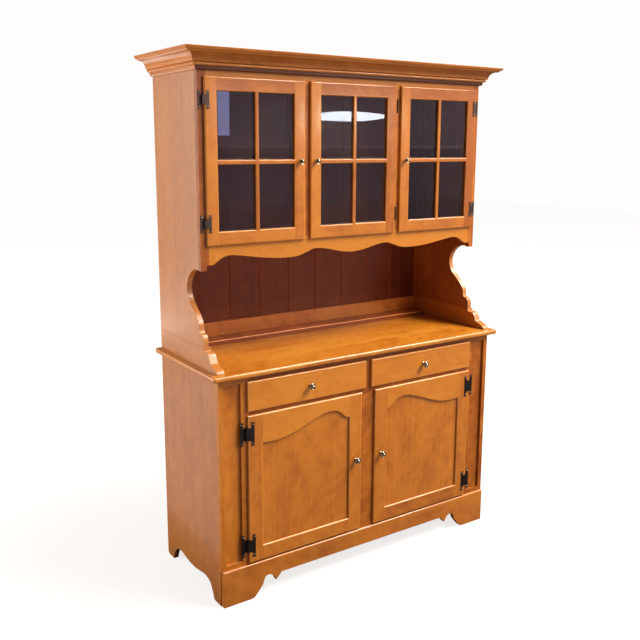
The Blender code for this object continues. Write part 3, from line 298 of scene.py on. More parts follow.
def stained_maple(
    name, light, middle, dark, roughness, coat, figure=1.0, boards=1.0, streaks=1.0, shine=0.5
):
    """Maple under stain and sprayed lacquer. The stain takes unevenly, in soft clouds, blotches and
    mottles, and the curl, growth rings and fibres are faint; the lacquer is satin, with a thin gloss
    over it. The fibres are drawn 2 mm wide, coarser than real ones, so that they show."""
    made, tree, shader = plain_material(name)
    shader.inputs["Specular IOR Level"].default_value = shine
    log = add_node(tree, "ShaderNodeAttribute", attribute_name="grain").outputs["Vector"]

    def stretched(across, along, turn=(0, 0, 0)):
        """The log's coordinates, in cells that many metres across and along the fibres."""
        return add_node(
            tree,
            "ShaderNodeMapping",
            {"Vector": log, "Scale": (across, across, along), "Rotation": turn},
            vector_type="TEXTURE",
        ).outputs["Vector"]

    def noise(vector, detail, rough=0.5, distortion=0.0):
        return add_node(
            tree,
            "ShaderNodeTexNoise",
            {
                "Vector": vector,
                "Scale": 1.0,
                "Detail": detail,
                "Roughness": rough,
                "Distortion": distortion,
            },
        ).outputs["Fac"]

    def math_node(operation, *values):
        return add_node(
            tree, "ShaderNodeMath", dict(enumerate(values)), operation=operation
        ).outputs["Value"]

    board = noise(stretched(2.2, 4.0), 0)
    cloud = noise(stretched(0.17, 0.34), 2, 0.5, 0.3)
    blotch = noise(stretched(0.06, 0.12), 3, 0.55, 0.6)
    mottle = noise(stretched(0.013, 0.024), 3, 0.6, 0.6)
    streak = noise(stretched(0.014, 0.7), 3, 0.55)
    fibre = noise(stretched(0.002, 0.11), 2, 0.6)
    curl = noise(stretched(0.06, 0.012), 2, 0.5, 0.8)
    wisp = noise(stretched(0.030, 0.15, (0.65, 0.55, 0.0)), 2, 0.5, 0.5)
    rings = add_node(
        tree,
        "ShaderNodeTexWave",
        {
            "Vector": stretched(1.0, 14.0, (0.0, 0.01, 0.0)),
            "Scale": 26.0,
            "Distortion": 5.0,
            "Detail": 2.0,
            "Detail Scale": 1.2,
        },
        wave_type="RINGS",
        rings_direction="Z",
    ).outputs["Fac"]
    # The stain attribute holds each board's stain, and on some faces painted light and painted shade.
    stain_and_painted_light = add_node(tree, "ShaderNodeAttribute", attribute_name="stain_and_painted_light").outputs["Fac"]
    tone = math_node("ADD", stain_and_painted_light, 0.5)
    for source, share in (
        (board, 0.30 * boards),
        (cloud, 0.62 * figure),
        (wisp, 0.52 * figure),
        (blotch, 0.52 * figure),
        (mottle, 0.20 * figure),
        (streak, 0.16 * streaks),
        (fibre, 0.06 * figure),
        (curl, 0.16 * figure),
        (rings, 0.07 * figure),
    ):
        centred = math_node("SUBTRACT", source, 0.5)
        tone = math_node("MULTIPLY_ADD", centred, share, tone)
    colours = add_node(tree, "ShaderNodeValToRGB", {"Fac": tone})
    ramp = colours.color_ramp
    ramp.elements[0].position, ramp.elements[0].color = 0.15, linear(dark)
    ramp.elements[1].position, ramp.elements[1].color = 0.85, linear(light)
    ramp.elements.new(0.5).color = linear(middle)
    tree.links.new(colours.outputs["Color"], shader.inputs["Base Color"])
    gloss = add_node(
        tree,
        "ShaderNodeMapRange",
        {"Value": cloud, "To Min": roughness - 0.06, "To Max": roughness + 0.06},
    )
    tree.links.new(gloss.outputs["Result"], shader.inputs["Roughness"])
    shader.inputs["Coat Weight"].default_value = coat
    shader.inputs["Coat Roughness"].default_value = 0.13
    skin = math_node("MULTIPLY_ADD", blotch, 3.0, fibre)
    bump = add_node(
        tree, "ShaderNodeBump", {"Height": skin, "Strength": 0.10, "Distance": 0.0006}
    )
    tree.links.new(bump.outputs["Normal"], shader.inputs["Normal"])
    return made


side_maple = stained_maple(
    "stained_maple_side", "C5823C", "B67232", "985725", 0.36, 0.3, 0.6, 0.8, 3.0
)
ARRIS = 0.0012
SIDE_BOARD = 0.118
for number, side in enumerate(("left", "right")):
    piece = blank(f"base_{side}_side")
    sliced(piece, "Y", [step * SIDE_BOARD for step in (-1, 0, 1)])
    eased(piece, ARRIS)

    def outer_board(place, first=10 + 10 * number):
        return (first + math.floor(place.y / SIDE_BOARD), "Z")

    sawn(piece, outer_board, -0.12)
    piece.data.materials.append(side_maple)


# Lower cabinet, inside: a plywood back, and a deck, a shelf and a dust board with drawer guides, sealed
# but not stained, so they are paler and duller than the outside.
inside_wood = stained_maple(
    "sealed_maple_inside", "D6AA78", "C4935F", "A87848", 0.55, 0.0, 0.3, 0.8, 1.5
)
for number, (node, axis) in enumerate(
    (
        ("base_back_panel", "Z"),
        ("base_deck", "X"),
        ("base_shelf", "X"),
        ("drawer_dust_board", "X"),
    )
):
    piece = blank(node)
    eased(piece, ARRIS / 2)
    sawn(piece, lambda place, number=number, axis=axis: (30 + number, axis))
    piece.data.materials.append(inside_wood)


# Lower face frame: upright end stiles with sunk pilasters, a middle stile, and rails between them. It
# is jointed from separate lengths, so the grain turns at each joint.
front_maple = stained_maple(
    "stained_maple_front", "CA7C22", "BC6D19", "9E520F", 0.36, 0.8, shine=0.35
)
frame_maple = stained_maple(
    "stained_maple_face_frame", "C67A24", "B66818", "90470C", 0.40, 0.3, 1.1, shine=0.32
)
LIP = 0.010
FRAME_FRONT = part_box("base_face_frame")[0].y
door_low, door_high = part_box("base_right_door_frame")
drawer_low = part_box("right_drawer_face")[0]
PILASTER_OUTER, PILASTER_INNER = 0.5915, 0.5275
STILE_INNER = door_high.x - LIP
MIDDLE_STILE = door_low.x + LIP
RAIL_BETWEEN = (door_high.z + drawer_low.z) / 2


def lower_frame_board(place):
    """36 and 37 are the sunk pilasters, 40 and 41 the stiles, 42 the middle stile below the drawers, 43
    the rail above them, 44 the rails below, and 48 and 49 the outer strips."""
    right = place.x > 0
    if abs(place.x) > PILASTER_OUTER:
        return (48 + right, "Z")
    if abs(place.x) > PILASTER_INNER and place.y > FRAME_FRONT + ARRIS:
        return (36 + right, "Z")
    if abs(place.x) > STILE_INNER - ARRIS / 2:
        return (40 + right, "Z")
    if abs(place.x) < MIDDLE_STILE and place.z < door_high.z - LIP:
        return (42, "Z")
    return (43 if place.z > RAIL_BETWEEN + LIP else 44, "X")


piece = blank("base_face_frame")
sliced(piece, "X", (-STILE_INNER, STILE_INNER, -MIDDLE_STILE, MIDDLE_STILE))
sliced(piece, "Z", (door_high.z - LIP,))
eased(piece, ARRIS)
# The rail under the counter (43) is darkened as painted shade from the counter's overhang.
sawn(
    piece,
    lower_frame_board,
    {36: 0.12, 37: -0.15, 40: 0.05, 41: -0.25, 42: 0.0, 43: -0.6, 44: -0.3, 48: 0.1, 49: -0.1},
)
piece.data.materials.append(frame_maple)


# Apron: one long maple board, glued and screwed across the front of the case. It is scroll-cut into
# bracket feet, its top edge is rounded, and it takes the same stain and lacquer as the doors.
piece = blank("base_apron")
eased(piece, ARRIS)
sawn(piece, lambda place: (46, "X"), 0.02)
piece.data.materials.append(front_maple)


# Lower doors: a maple frame with full stiles and a scroll-cut top rail, round a flat sunk panel that is
# held in a groove. The front edges of the lip, which laps over the face frame, are rounded.
LOWER_STILE = 0.0575
for number, side in enumerate(("left", "right")):
    low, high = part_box(f"base_{side}_door_frame")
    inner = (low.x + LOWER_STILE, high.x - LOWER_STILE)
    piece = blank(f"base_{side}_door_frame")
    sliced(piece, "X", inner)
    eased(piece, ARRIS / 2)
    middle_z = (low.z + high.z) / 2

    def door_board(place, first=50 + 8 * number, inner=inner, middle_z=middle_z):
        """The left and the right stile, the top rail and the bottom rail, from first on."""
        if place.x < inner[0]:
            return (first, "Z")
        if place.x > inner[1]:
            return (first + 1, "Z")
        return (first + (2 if place.z > middle_z else 3), "X")

    sawn(piece, door_board, {52: 0.28, 59: -0.1, 60: 0.14, 61: -0.15})
    piece.data.materials.append(front_maple)
    piece = blank(f"base_{side}_door_panel")
    eased(piece, ARRIS / 2)
    sawn(piece, lambda place, number=number: (54 + 8 * number, "Z"))
    piece.data.materials.append(front_maple)


# Drawers: one wide board for each face, rounded at the front, and a sealed box behind it. The box is
# dovetailed at the front corners, so pins of darker end grain show between the tails of its sides.
def select_only(piece, kind, chosen):
    """Edit mode, with only those points, edges or faces of the piece selected that pass chosen."""
    bpy.ops.object.mode_set(mode="EDIT")
    bpy.ops.mesh.select_mode(type=kind)
    bpy.ops.mesh.select_all(action="DESELECT")
    bpy.ops.object.mode_set(mode="OBJECT")
    mesh = piece.data
    for part in {"VERT": mesh.vertices, "EDGE": mesh.edges, "FACE": mesh.polygons}[kind]:
        part.select = chosen(part)
    bpy.ops.object.mode_set(mode="EDIT")


DOVETAIL_DEPTH = 0.012
DOVETAIL_SLOPE = math.radians(9)
PINS = 3
PIN_SHARE = 0.42
FACES_SIDEWAYS = 0.9


def dovetail_lines(low, high):
    """The places and slopes of the cuts up the corner: lower and upper edge of each pin."""
    pitch = (high.z - low.z) / PINS
    for step in range(PINS):
        middle = low.z + (step + 0.5) * pitch
        yield middle - pitch * PIN_SHARE / 2, 1
        yield middle + pitch * PIN_SHARE / 2, -1


for number, side in enumerate(("left", "right")):
    piece = blank(f"{side}_drawer_face")
    eased(piece, ARRIS / 2)
    sawn(piece, lambda place, number=number: (70 + number, "X"), (0.30, 0.12)[number])
    piece.data.materials.append(front_maple)
    piece = blank(f"{side}_drawer_box")
    low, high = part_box(f"{side}_drawer_box")
    sliced(piece, "Y", (low.y + DOVETAIL_DEPTH,))

    def at_corner(face, low=low):
        return abs(face.normal.x) > FACES_SIDEWAYS and face.center.y < low.y + DOVETAIL_DEPTH

    for z, slope in dovetail_lines(low, high):
        select_only(piece, "FACE", at_corner)
        bpy.ops.mesh.bisect(
            plane_co=(0, low.y + DOVETAIL_DEPTH / 2, z),
            plane_no=(0, slope * math.sin(DOVETAIL_SLOPE), math.cos(DOVETAIL_SLOPE)),
        )
    bpy.ops.object.mode_set(mode="OBJECT")
    eased(piece, ARRIS / 2)

    def box_board(place, first=72 + 4 * number, low=low, high=high):
        outer = min(place.x - low.x, high.x - place.x) < ARRIS
        if outer and place.y < low.y + DOVETAIL_DEPTH:
            below = sum(place.z > z for z, slope in dovetail_lines(low, high))
            return (first + 2, "X") if below % 2 else (first, "Y")
        across = place.y < low.y + DOVETAIL_DEPTH or place.y > high.y - DOVETAIL_DEPTH
        return (first + 1, "X") if across and not outer else (first, "Y")

    sawn(piece, box_board, {74: -0.6, 78: -0.6})
    piece.data.materials.append(inside_wood)


# Counter: boards glued edge to edge along the length, rounded at the front and the ends, with the most
# lacquer of any surface.
counter_maple = stained_maple(
    "stained_maple_counter", "D48C2F", "C87C23", "AD5E12", 0.30, 0.35, 1.35, 0.7
)
COUNTER_BOARD = 0.11
piece = blank("counter_top")
sliced(piece, "Y", [step * COUNTER_BOARD for step in (-1, 0, 1, 2)])
eased(piece, ARRIS / 2)
sawn(piece, lambda place: (80 + math.floor(place.y / COUNTER_BOARD), "X"))
piece.data.materials.append(counter_maple)


# Gallery: a scroll bracket at each end and a back board and a ledge between them, let into the counter.
# The top edge of the board and the front arris of the ledge are painted pale as highlights, and the
# ledge's front is darkened as painted shade.
gallery_maple = stained_maple("stained_maple_gallery", "DC8434", "BC6424", "86400F", 0.36, 0.22, 1.3)
BOARD_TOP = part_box("gallery_back_board")[1].z - ARRIS
LEDGE_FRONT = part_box("gallery_ledge")[0].y + ARRIS
LEDGE_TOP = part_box("gallery_ledge")[1].z - ARRIS
for number, (node, axis, finish, slot) in enumerate(
    (
        ("gallery_left_bracket", "Y", side_maple, "side_maple"),
        ("gallery_right_bracket", "Y", side_maple, "side_maple"),
        ("gallery_back_board", "X", gallery_maple, "front_maple"),
        ("gallery_ledge", "X", gallery_maple, "front_maple"),
    )
):
    piece = blank(node)
    eased(piece, ARRIS)

    def gallery_board(place, number=number, axis=axis):
        """Each piece from 86 on, and then the board's top edge, the ledge's front and its arris."""
        if axis == "X" and place.z > BOARD_TOP:
            return (92, axis)
        if axis == "X" and place.y < LEDGE_FRONT:
            return (93 if place.z < LEDGE_TOP - 2 * ARRIS else 94, axis)
        return (86 + number, axis)

    # The board's top edge (92) and the ledge's arris (94) are painted highlights, the ledge's front (93)
    # painted shade.
    sawn(piece, gallery_board, {88: 0.38, 89: -0.25, 92: 1.1, 93: -0.9, 94: 1.3})
    piece.data.materials.append(finish)


# Upper cabinet, sides: solid maple, glued up from upright boards and cut in a C-scroll near the foot.
# They stand on the brackets of the gallery, and their inner faces are darkened as painted shade.
INNER_FACES = 20
SHADED_INNER_NUMBERS = range(110, 125)
for number, side in enumerate(("left", "right")):
    piece = blank(f"hutch_{side}_side")
    sliced(piece, "Y", [step * SIDE_BOARD for step in (0, 1)])
    eased(piece, ARRIS)
    low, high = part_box(f"hutch_{side}_side")
    inner_face = high.x - ARRIS if side == "left" else low.x + ARRIS

    def side_board(place, first=95 + 5 * number, inner_face=inner_face, side=side):
        """Boards from the front to the rear, with other numbers for their inner faces."""
        inside = place.x > inner_face if side == "left" else place.x < inner_face
        return (first + (INNER_FACES if inside else 0) + math.floor(place.y / SIDE_BOARD), "Z")

    # The inner faces are darkened as painted shade inside the cabinet.
    sawn(piece, side_board, dict.fromkeys(SHADED_INNER_NUMBERS, -0.3))
    piece.data.materials.append(side_maple)


# Upper cabinet, inside: deck, shelf and top board, and a back of upright planks with a V-groove at each
# joint, darker than the rest.
for number, node in enumerate(("hutch_deck", "hutch_shelf", "hutch_top_board")):
    piece = blank(node)
    eased(piece, ARRIS / 2)
    sawn(piece, lambda place, number=number: (110 + number, "X"))
    piece.data.materials.append(inside_wood)
back_maple = stained_maple(
    "stained_maple_back", "944A20", "7C3B19", "602A10", 0.42, 0.12, 0.45, 0.6, 2.0, shine=0.28
)
PLANKS = 9
NEAR = 0.00005
V_GROOVE = 0.0048
REAR_JOINT = 0.0014
piece = blank("hutch_back_panel")
back_low, back_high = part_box("hutch_back_panel")
plank = (back_high.x - back_low.x) / PLANKS
joints = [back_low.x + step * plank for step in range(1, PLANKS)]
sliced(piece, "X", joints)


def rear_points(piece, rear, places=None):
    """Selects the points of the rear face: all of them, or those that lie at these places along X."""

    def at_rear(vertex):
        there = places is None or any(abs(vertex.co.x - place) < NEAR for place in places)
        return there and vertex.co.y > rear - NEAR

    only(piece)
    select_only(piece, "VERT", at_rear)


rear_points(piece, back_high.y, joints)
bpy.ops.mesh.bevel(offset=REAR_JOINT, offset_type="OFFSET", segments=2)
bpy.ops.object.mode_set(mode="OBJECT")
rear_points(piece, back_high.y, joints)
bpy.ops.transform.translate(value=(0, -REAR_JOINT, 0))
bpy.ops.object.mode_set(mode="OBJECT")
bpy.ops.object.shade_flat()


def plank_board(place):
    """The planks from 120 on, and the joints between them: 139 is the V-groove, 138 the rear."""
    along = (place.x - back_low.x) / plank
    in_joint = 0 < round(along) < PLANKS and abs(along - round(along)) * plank < V_GROOVE / 2
    if in_joint:
        return (139 if place.y < back_high.y - V_GROOVE else 138, "Z")
    return (120 + math.floor(along), "Z")


# The V-grooves (139) are painted paler, painted light in their shade, and the planks at the right end
# (127, 128) darker as painted shade.
sawn(piece, plank_board, {139: 0.55, 138: -0.5, 127: -0.1, 128: -0.2})
piece.data.materials.append(back_maple)


# Upper face frame: end stiles, two mullions, a top rail and a scroll-cut bottom rail. The knuckles of
# the middle door's hinges stand on its right mullion, and are of dark metal.
upper_low, upper_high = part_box("hutch_middle_door_frame")
left_low, left_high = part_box("hutch_left_door_frame")
upper_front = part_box("hutch_face_frame")[0].y
END_STILE = -(left_low.x + LIP)
MULLION_OUTER, MULLION_INNER = -(left_high.x - LIP), -(upper_low.x + LIP)


def upper_frame_board(place):
    """130 and 131 are the end stiles, 132 and 133 the top and bottom rails, 134 and 135 the mullions."""
    if abs(place.x) > END_STILE:
        return (130 if place.x < 0 else 131, "Z")
    at_mullion = MULLION_INNER <= abs(place.x) <= MULLION_OUTER
    if at_mullion and upper_low.z + LIP < place.z < upper_high.z - LIP:
        return (134 if place.x < 0 else 135, "Z")
    return (132 if place.z > upper_high.z - LIP else 133, "X")


def hammered_metal(name, hex_code, roughness, dent=0.0022, depth=0.00012):
    """Steel plate, struck all over with a small hammer and then blacked or plated: shallow dents a few
    millimetres across, which break up the highlight, and a worn, uneven sheen."""
    made, tree, shader = plain_material(name)
    place = add_node(tree, "ShaderNodeTexCoord").outputs["Object"]
    dents = add_node(
        tree, "ShaderNodeTexVoronoi", {"Vector": place, "Scale": 1 / dent}, feature="SMOOTH_F1"
    )
    wear = add_node(
        tree, "ShaderNodeTexNoise", {"Vector": place, "Scale": 1 / (dent * 3), "Detail": 3.0}
    )
    bump = add_node(
        tree,
        "ShaderNodeBump",
        {"Height": dents.outputs["Distance"], "Strength": 0.6, "Distance": depth * 4},
    )
    tree.links.new(bump.outputs["Normal"], shader.inputs["Normal"])
    sheen = add_node(
        tree,
        "ShaderNodeMapRange",
        {
            "Value": wear.outputs["Fac"],
            "From Min": 0.3,
            "From Max": 0.7,
            "To Min": roughness - 0.1,
            "To Max": roughness + 0.12,
        },
    )
    tree.links.new(sheen.outputs["Result"], shader.inputs["Roughness"])
    dark = tuple(channel * 0.6 for channel in linear(hex_code)[:3]) + (1.0,)
    tint = add_node(
        tree,
        "ShaderNodeMixRGB",
        {"Fac": wear.outputs["Fac"], "Color1": dark, "Color2": linear(hex_code)},
    )
    tree.links.new(tint.outputs["Color"], shader.inputs["Base Color"])
    shader.inputs["Metallic"].default_value = 1.0
    return made


pewter = hammered_metal("pewter_plated_steel", "66544F", 0.40)
piece = blank("hutch_face_frame")
sliced(piece, "X", (-END_STILE, END_STILE))
sliced(piece, "X", (-MULLION_OUTER, -MULLION_INNER, MULLION_OUTER, MULLION_INNER))
sliced(piece, "Z", (upper_low.z + LIP, upper_high.z - LIP))
eased(piece, ARRIS / 2)
# The left end stile and the mullions (130, 134, 135), narrow strips beside the doors' lips, are darkened
# as painted shade.
sawn(piece, upper_frame_board, {130: -0.35, 131: -0.1, 132: 0.25, 133: 0.35, 134: -0.15, 135: -0.15})
piece.data.materials.append(frame_maple)
piece.data.materials.append(pewter)
knuckle_low, knuckle_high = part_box("hutch_middle_door_upper_hinge_leaf")
KNUCKLE_DEPTH = 0.0112
for face in piece.data.polygons:
    beside = knuckle_low.x - LIP < face.center.x < knuckle_high.x + LIP
    face.material_index = int(beside and face.center.y < upper_front + KNUCKLE_DEPTH)


# Crown: a moulded maple section mitred round the front and both ends. The bead is painted paler as a
# highlight, and the flat fillet under it is darkened as painted shade, a dark line along the front.
crown_maple = stained_maple(
    "stained_maple_crown", "CC7E32", "B2641F", "66300E", 0.34, 0.25, 0.8, shine=0.3
)
LOWER_FILLET, BEAD_TOP, UPPER_FILLET = 0.0128, 0.0225, 0.0312
piece = blank("crown_moulding")
eased(piece, ARRIS / 2, angle=30)
crown_low, crown_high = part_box("crown_moulding")


def crown_board(place):
    """The cove and the cornice have the numbers 140 to 142, for the left return, the right one and the
    front. Those of the lower fillet are 3 higher, of the bead 6 and of the upper fillet 60."""
    height = place.z - crown_low.z
    bands = ((LOWER_FILLET, 3), (BEAD_TOP, 6), (UPPER_FILLET, 60), (math.inf, 0))
    part = next(number for top, number in bands if height < top)
    if crown_high.x - abs(place.x) < place.y - crown_low.y:
        return (part + (140 if place.x < 0 else 141), "Y")
    return (part + 142, "X")


# The front fillet (145) is darkened as painted shade, and the beads (146 to 148) are painted paler as a
# highlight.
CROWN_STAINS_AND_PAINTED_LIGHT = {
    **{140: 0.2, 141: 0.0, 142: 0.1},
    **{143: 0.2, 144: 0.1, 145: -1.0},
    **{146: 0.3, 147: 0.1, 148: 0.5},
    **{200: 0.3, 201: 0.1, 202: 0.0},
}
sawn(piece, crown_board, CROWN_STAINS_AND_PAINTED_LIGHT)
piece.data.materials.append(crown_maple)


# Upper doors: a frame with a cross of muntins in front of one pane of old and slightly wavy glass. One
# moulding, a small round, runs along the frame and the muntins and catches a pale line of light.
glass, tree, shader = plain_material("window_glass")
shader.inputs["Base Color"].default_value = linear("E9EEEA")
shader.inputs["Roughness"].default_value = 0.0
shader.inputs["IOR"].default_value = 1.5
# The reflections are tinted violet, a painted colour for the room that the panes mirror.
shader.inputs["Specular Tint"].default_value = linear("B8A8C8")
shader.inputs["Transmission Weight"].default_value = 1.0
place = add_node(tree, "ShaderNodeTexCoord").outputs["Object"]
draw = add_node(
    tree, "ShaderNodeTexNoise", {"Vector": place, "Scale": 9.0, "Detail": 1.0, "Distortion": 0.4}
)
bump = add_node(
    tree, "ShaderNodeBump", {"Height": draw.outputs["Fac"], "Strength": 0.05, "Distance": 0.0008}
)
tree.links.new(bump.outputs["Normal"], shader.inputs["Normal"])
UPPER_STILE = 0.045
MUNTIN = 0.015
PANE_ARRIS = 0.0018
STICKING = 0.0042
PANE_MARGIN = 0.004
# The top rails (152, 160, 168), under the crown, are darkened as painted shade.
GLAZED_STAINS_AND_PAINTED_SHADE = {
    **{150: 0.18, 152: -0.3, 153: 0.05, 154: -0.2},
    **{158: 0.15, 159: -0.26, 160: -0.34, 162: -0.2},
    **{167: -0.4, 168: -0.25, 170: -0.2},
}
for number, side in enumerate(("left", "middle", "right")):
    low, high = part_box(f"hutch_{side}_door_frame")
    inner = (low.x + UPPER_STILE, high.x - UPPER_STILE)
    middle = ((low.x + high.x) / 2, (low.z + high.z) / 2)
    piece = blank(f"hutch_{side}_door_frame")
    across = (inner[0], middle[0] - MUNTIN / 2, middle[0] + MUNTIN / 2, inner[1])
    along = (low.z + UPPER_STILE, middle[1] - MUNTIN / 2, middle[1] + MUNTIN / 2, high.z - UPPER_STILE)

    def by_panes(vertex, low=low, across=across, along=along):
        """Whether it is a point of the small arris in front, round the panes."""
        return vertex.co.y < low.y + PANE_ARRIS + NEAR and all(
            lines[0] - PANE_MARGIN < vertex.co[axis] < lines[3] + PANE_MARGIN
            for axis, lines in ((0, across), (2, along))
        )

    def round_panes(edge, mesh=piece.data, low=low, across=across, along=along):
        """Whether it is an edge that bounds one of the four openings in front."""
        ends = [mesh.vertices[index].co for index in edge.vertices]
        centre = (ends[0] + ends[1]) / 2
        return all(end.y < low.y + NEAR for end in ends) and any(
            all(abs(end[axis] - line) < NEAR for end in ends)
            and any(part[0] < centre[2 - axis] < part[1] for part in (others[:2], others[2:]))
            for axis, lines, others in ((0, across, along), (2, along, across))
            for line in lines
        )

    # The small arris goes back to the flat front, the members meet at seams, and then the edges of the
    # openings are rounded.
    select_only(piece, "VERT", by_panes)
    bpy.ops.transform.resize(value=(1, 0, 1), center_override=(0, low.y, 0))
    bpy.ops.mesh.select_mode(type="EDGE")
    for normal, lines in ((Vector((1, 0, 0)), across), (Vector((0, 0, 1)), along)):
        for line in lines:
            bpy.ops.mesh.select_all(action="SELECT")
            bpy.ops.mesh.bisect(plane_co=normal * line, plane_no=normal)
            bpy.ops.mesh.mark_seam()
    bpy.ops.mesh.select_all(action="SELECT")
    bpy.ops.mesh.dissolve_limited(angle_limit=math.radians(1), delimit={"SEAM"})
    select_only(piece, "EDGE", round_panes)
    bpy.ops.mesh.bevel(offset=STICKING, segments=5, loop_slide=False)
    bpy.ops.object.mode_set(mode="OBJECT")
    eased(piece, ARRIS / 2)

    def glazed_board(place, first=150 + 8 * number, inner=inner, middle=middle, low=low, high=high):
        """The left and the right stile, the top rail, the bottom rail and the muntins, from first on."""
        if place.x < inner[0]:
            return (first, "Z")
        if place.x > inner[1]:
            return (first + 1, "Z")
        if place.z > high.z - UPPER_STILE:
            return (first + 2, "X")
        if place.z < low.z + UPPER_STILE:
            return (first + 3, "X")
        return (first + 4, "Z" if abs(place.x - middle[0]) < MUNTIN / 2 else "X")

    sawn(piece, glazed_board, GLAZED_STAINS_AND_PAINTED_SHADE)
    piece.data.materials.append(front_maple)
    pane = blank(f"hutch_{side}_door_glass")
    only(pane)
    bpy.ops.object.shade_flat()
    pane.data.materials.append(glass)


# Glazing stops: thin maple strips, mitred at the corners and pinned in behind each pane, with a round
# inner edge. They are seen through the glass and when a door stands open.
STOP_WIDTH = 0.0082
STOP_GAP = 0.0004
STOP_ROUND = 0.0018
for number, side in enumerate(("left", "middle", "right")):
    pane_low, pane_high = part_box(f"hutch_{side}_door_glass")
    frame_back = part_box(f"hutch_{side}_door_frame")[1].y
    depth = frame_back - pane_high.y - 2 * STOP_GAP
    middle = (pane_low + pane_high) / 2
    bpy.ops.object.select_all(action="DESELECT")
    bpy.ops.mesh.primitive_plane_add(size=1, location=(middle.x, pane_high.y + STOP_GAP, middle.z))
    stops = bpy.context.active_object
    stops.name = f"hutch_{side}_door_glazing_stops"
    stops.rotation_euler = (math.pi / 2, 0, 0)
    stops.scale = (pane_high.x - pane_low.x, pane_high.z - pane_low.z, 1)
    bpy.ops.object.transform_apply(location=True, rotation=True, scale=True)
    bpy.ops.object.mode_set(mode="EDIT")
    bpy.ops.mesh.select_all(action="SELECT")
    bpy.ops.mesh.inset(thickness=STOP_WIDTH)
    bpy.ops.mesh.delete(type="FACE")
    bpy.ops.mesh.select_all(action="SELECT")
    bpy.ops.mesh.extrude_region_move(TRANSFORM_OT_translate={"value": (0, depth, 0)})
    bpy.ops.mesh.select_all(action="SELECT")
    bpy.ops.mesh.normals_make_consistent(inside=False)
    bpy.ops.object.mode_set(mode="OBJECT")
    eased(stops, STOP_ROUND, segments=3)

    def stop_board(place, first=160 + 8 * number, middle=middle, high=pane_high):
        upright_strip = high.x - abs(place.x - middle.x) - middle.x < STOP_WIDTH
        level = high.z - abs(place.z - middle.z) - middle.z < STOP_WIDTH
        return (first, "Z") if upright_strip and not level else (first + 1, "X")

    sawn(stops, stop_board)
    stops.data.materials.append(front_maple)
    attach(stops, frame["nodes"][f"hutch_{side}_door_glass"]["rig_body"])


# Knobs: turned brass under bright nickel, on a waisted neck. The head is a disc with a round rim and a
# domed middle, so it shows rings of light and dark. The lower knobs are larger than the upper ones.
knob_metal, tree, shader = plain_material("polished_nickel_plate")
shader.inputs["Metallic"].default_value = 1.0
place = add_node(tree, "ShaderNodeTexCoord").outputs["Object"]
touch = add_node(tree, "ShaderNodeTexNoise", {"Vector": place, "Scale": 260.0, "Detail": 3.0})
sheen = add_node(
    tree, "ShaderNodeMapRange", {"Value": touch.outputs["Fac"], "To Min": 0.03, "To Max": 0.15}
)
tree.links.new(sheen.outputs["Result"], shader.inputs["Roughness"])
tint = add_node(
    tree,
    "ShaderNodeMixRGB",
    {"Fac": touch.outputs["Fac"], "Color1": linear("8F806A"), "Color2": linear("BBAE98")},
)
tree.links.new(tint.outputs["Color"], shader.inputs["Base Color"])
KNOB_FOOT = 0.58
KNOB_SIDES = 36
KNOB_SMOOTH = math.radians(45)
KNOB_RINGS = (
    (0.58, 0.05),
    (0.52, 0.12),
    (0.40, 0.22),
    (0.35, 0.36),
    (0.34, 0.55),
    (0.38, 0.70),
    (0.52, 0.83),
    (0.74, 0.94),
    (0.90, 1.06),
    (0.98, 1.20),
    (0.998, 1.34),
    (0.98, 1.48),
    (0.93, 1.58),
    (0.86, 1.62),
    (0.79, 1.60),
    (0.71, 1.53),
    (0.65, 1.50),
    (0.60, 1.53),
    (0.56, 1.63),
    (0.51, 1.77),
    (0.43, 1.91),
    (0.32, 2.02),
    (0.18, 2.09),
    (0.05, 2.112),
)


def turned(sides, radius, rings):
    """A round form along Z: a disc that is drawn up through rings, each with its radius and height, in
    shares of the largest radius."""
    bpy.ops.object.select_all(action="DESELECT")
    bpy.ops.mesh.primitive_circle_add(
        vertices=sides, radius=radius, fill_type="NGON", location=(0, 0, 0)
    )
    bpy.ops.object.mode_set(mode="EDIT")
    bpy.ops.mesh.select_all(action="SELECT")
    depth = 0.0
    for ring, height in rings:
        bpy.ops.mesh.extrude_region_move(TRANSFORM_OT_translate={"value": (0, 0, height - depth)})
        bpy.ops.transform.resize(value=(ring / radius, ring / radius, 1))
        radius, depth = ring, height
    bpy.ops.mesh.select_all(action="SELECT")
    bpy.ops.mesh.normals_make_consistent(inside=False)
    bpy.ops.object.mode_set(mode="OBJECT")
    return bpy.context.active_object


turned_knob = turned(KNOB_SIDES, KNOB_FOOT, KNOB_RINGS)
bpy.ops.object.shade_smooth_by_angle(angle=KNOB_SMOOTH)


def copied(piece, name, place, turn=(0, 0, 0), size=1.0):
    """A copy with its own mesh, turned, scaled and set at its place."""
    only(piece)
    bpy.ops.object.duplicate()
    made = bpy.context.active_object
    made.name = name
    made.location, made.rotation_euler, made.scale = place, turn, (size, size, size)
    bpy.ops.object.transform_apply(location=True, rotation=True, scale=True)
    return made


TO_FRONT = (math.pi / 2, 0, 0)
for node in (
    "base_left_door_knob",
    "base_right_door_knob",
    "left_drawer_knob",
    "right_drawer_knob",
    "hutch_left_door_knob",
    "hutch_middle_door_knob",
    "hutch_right_door_knob",
):
    low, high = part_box(node)
    foot = ((low.x + high.x) / 2, high.y, (low.z + high.z) / 2)
    piece = copied(turned_knob, f"{node}_finished", foot, TO_FRONT, (high.z - low.z) / 2)
    piece.data.materials.append(knob_metal)
    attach(piece, frame["nodes"][node]["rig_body"])
    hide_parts(node)
bpy.data.objects.remove(turned_knob)


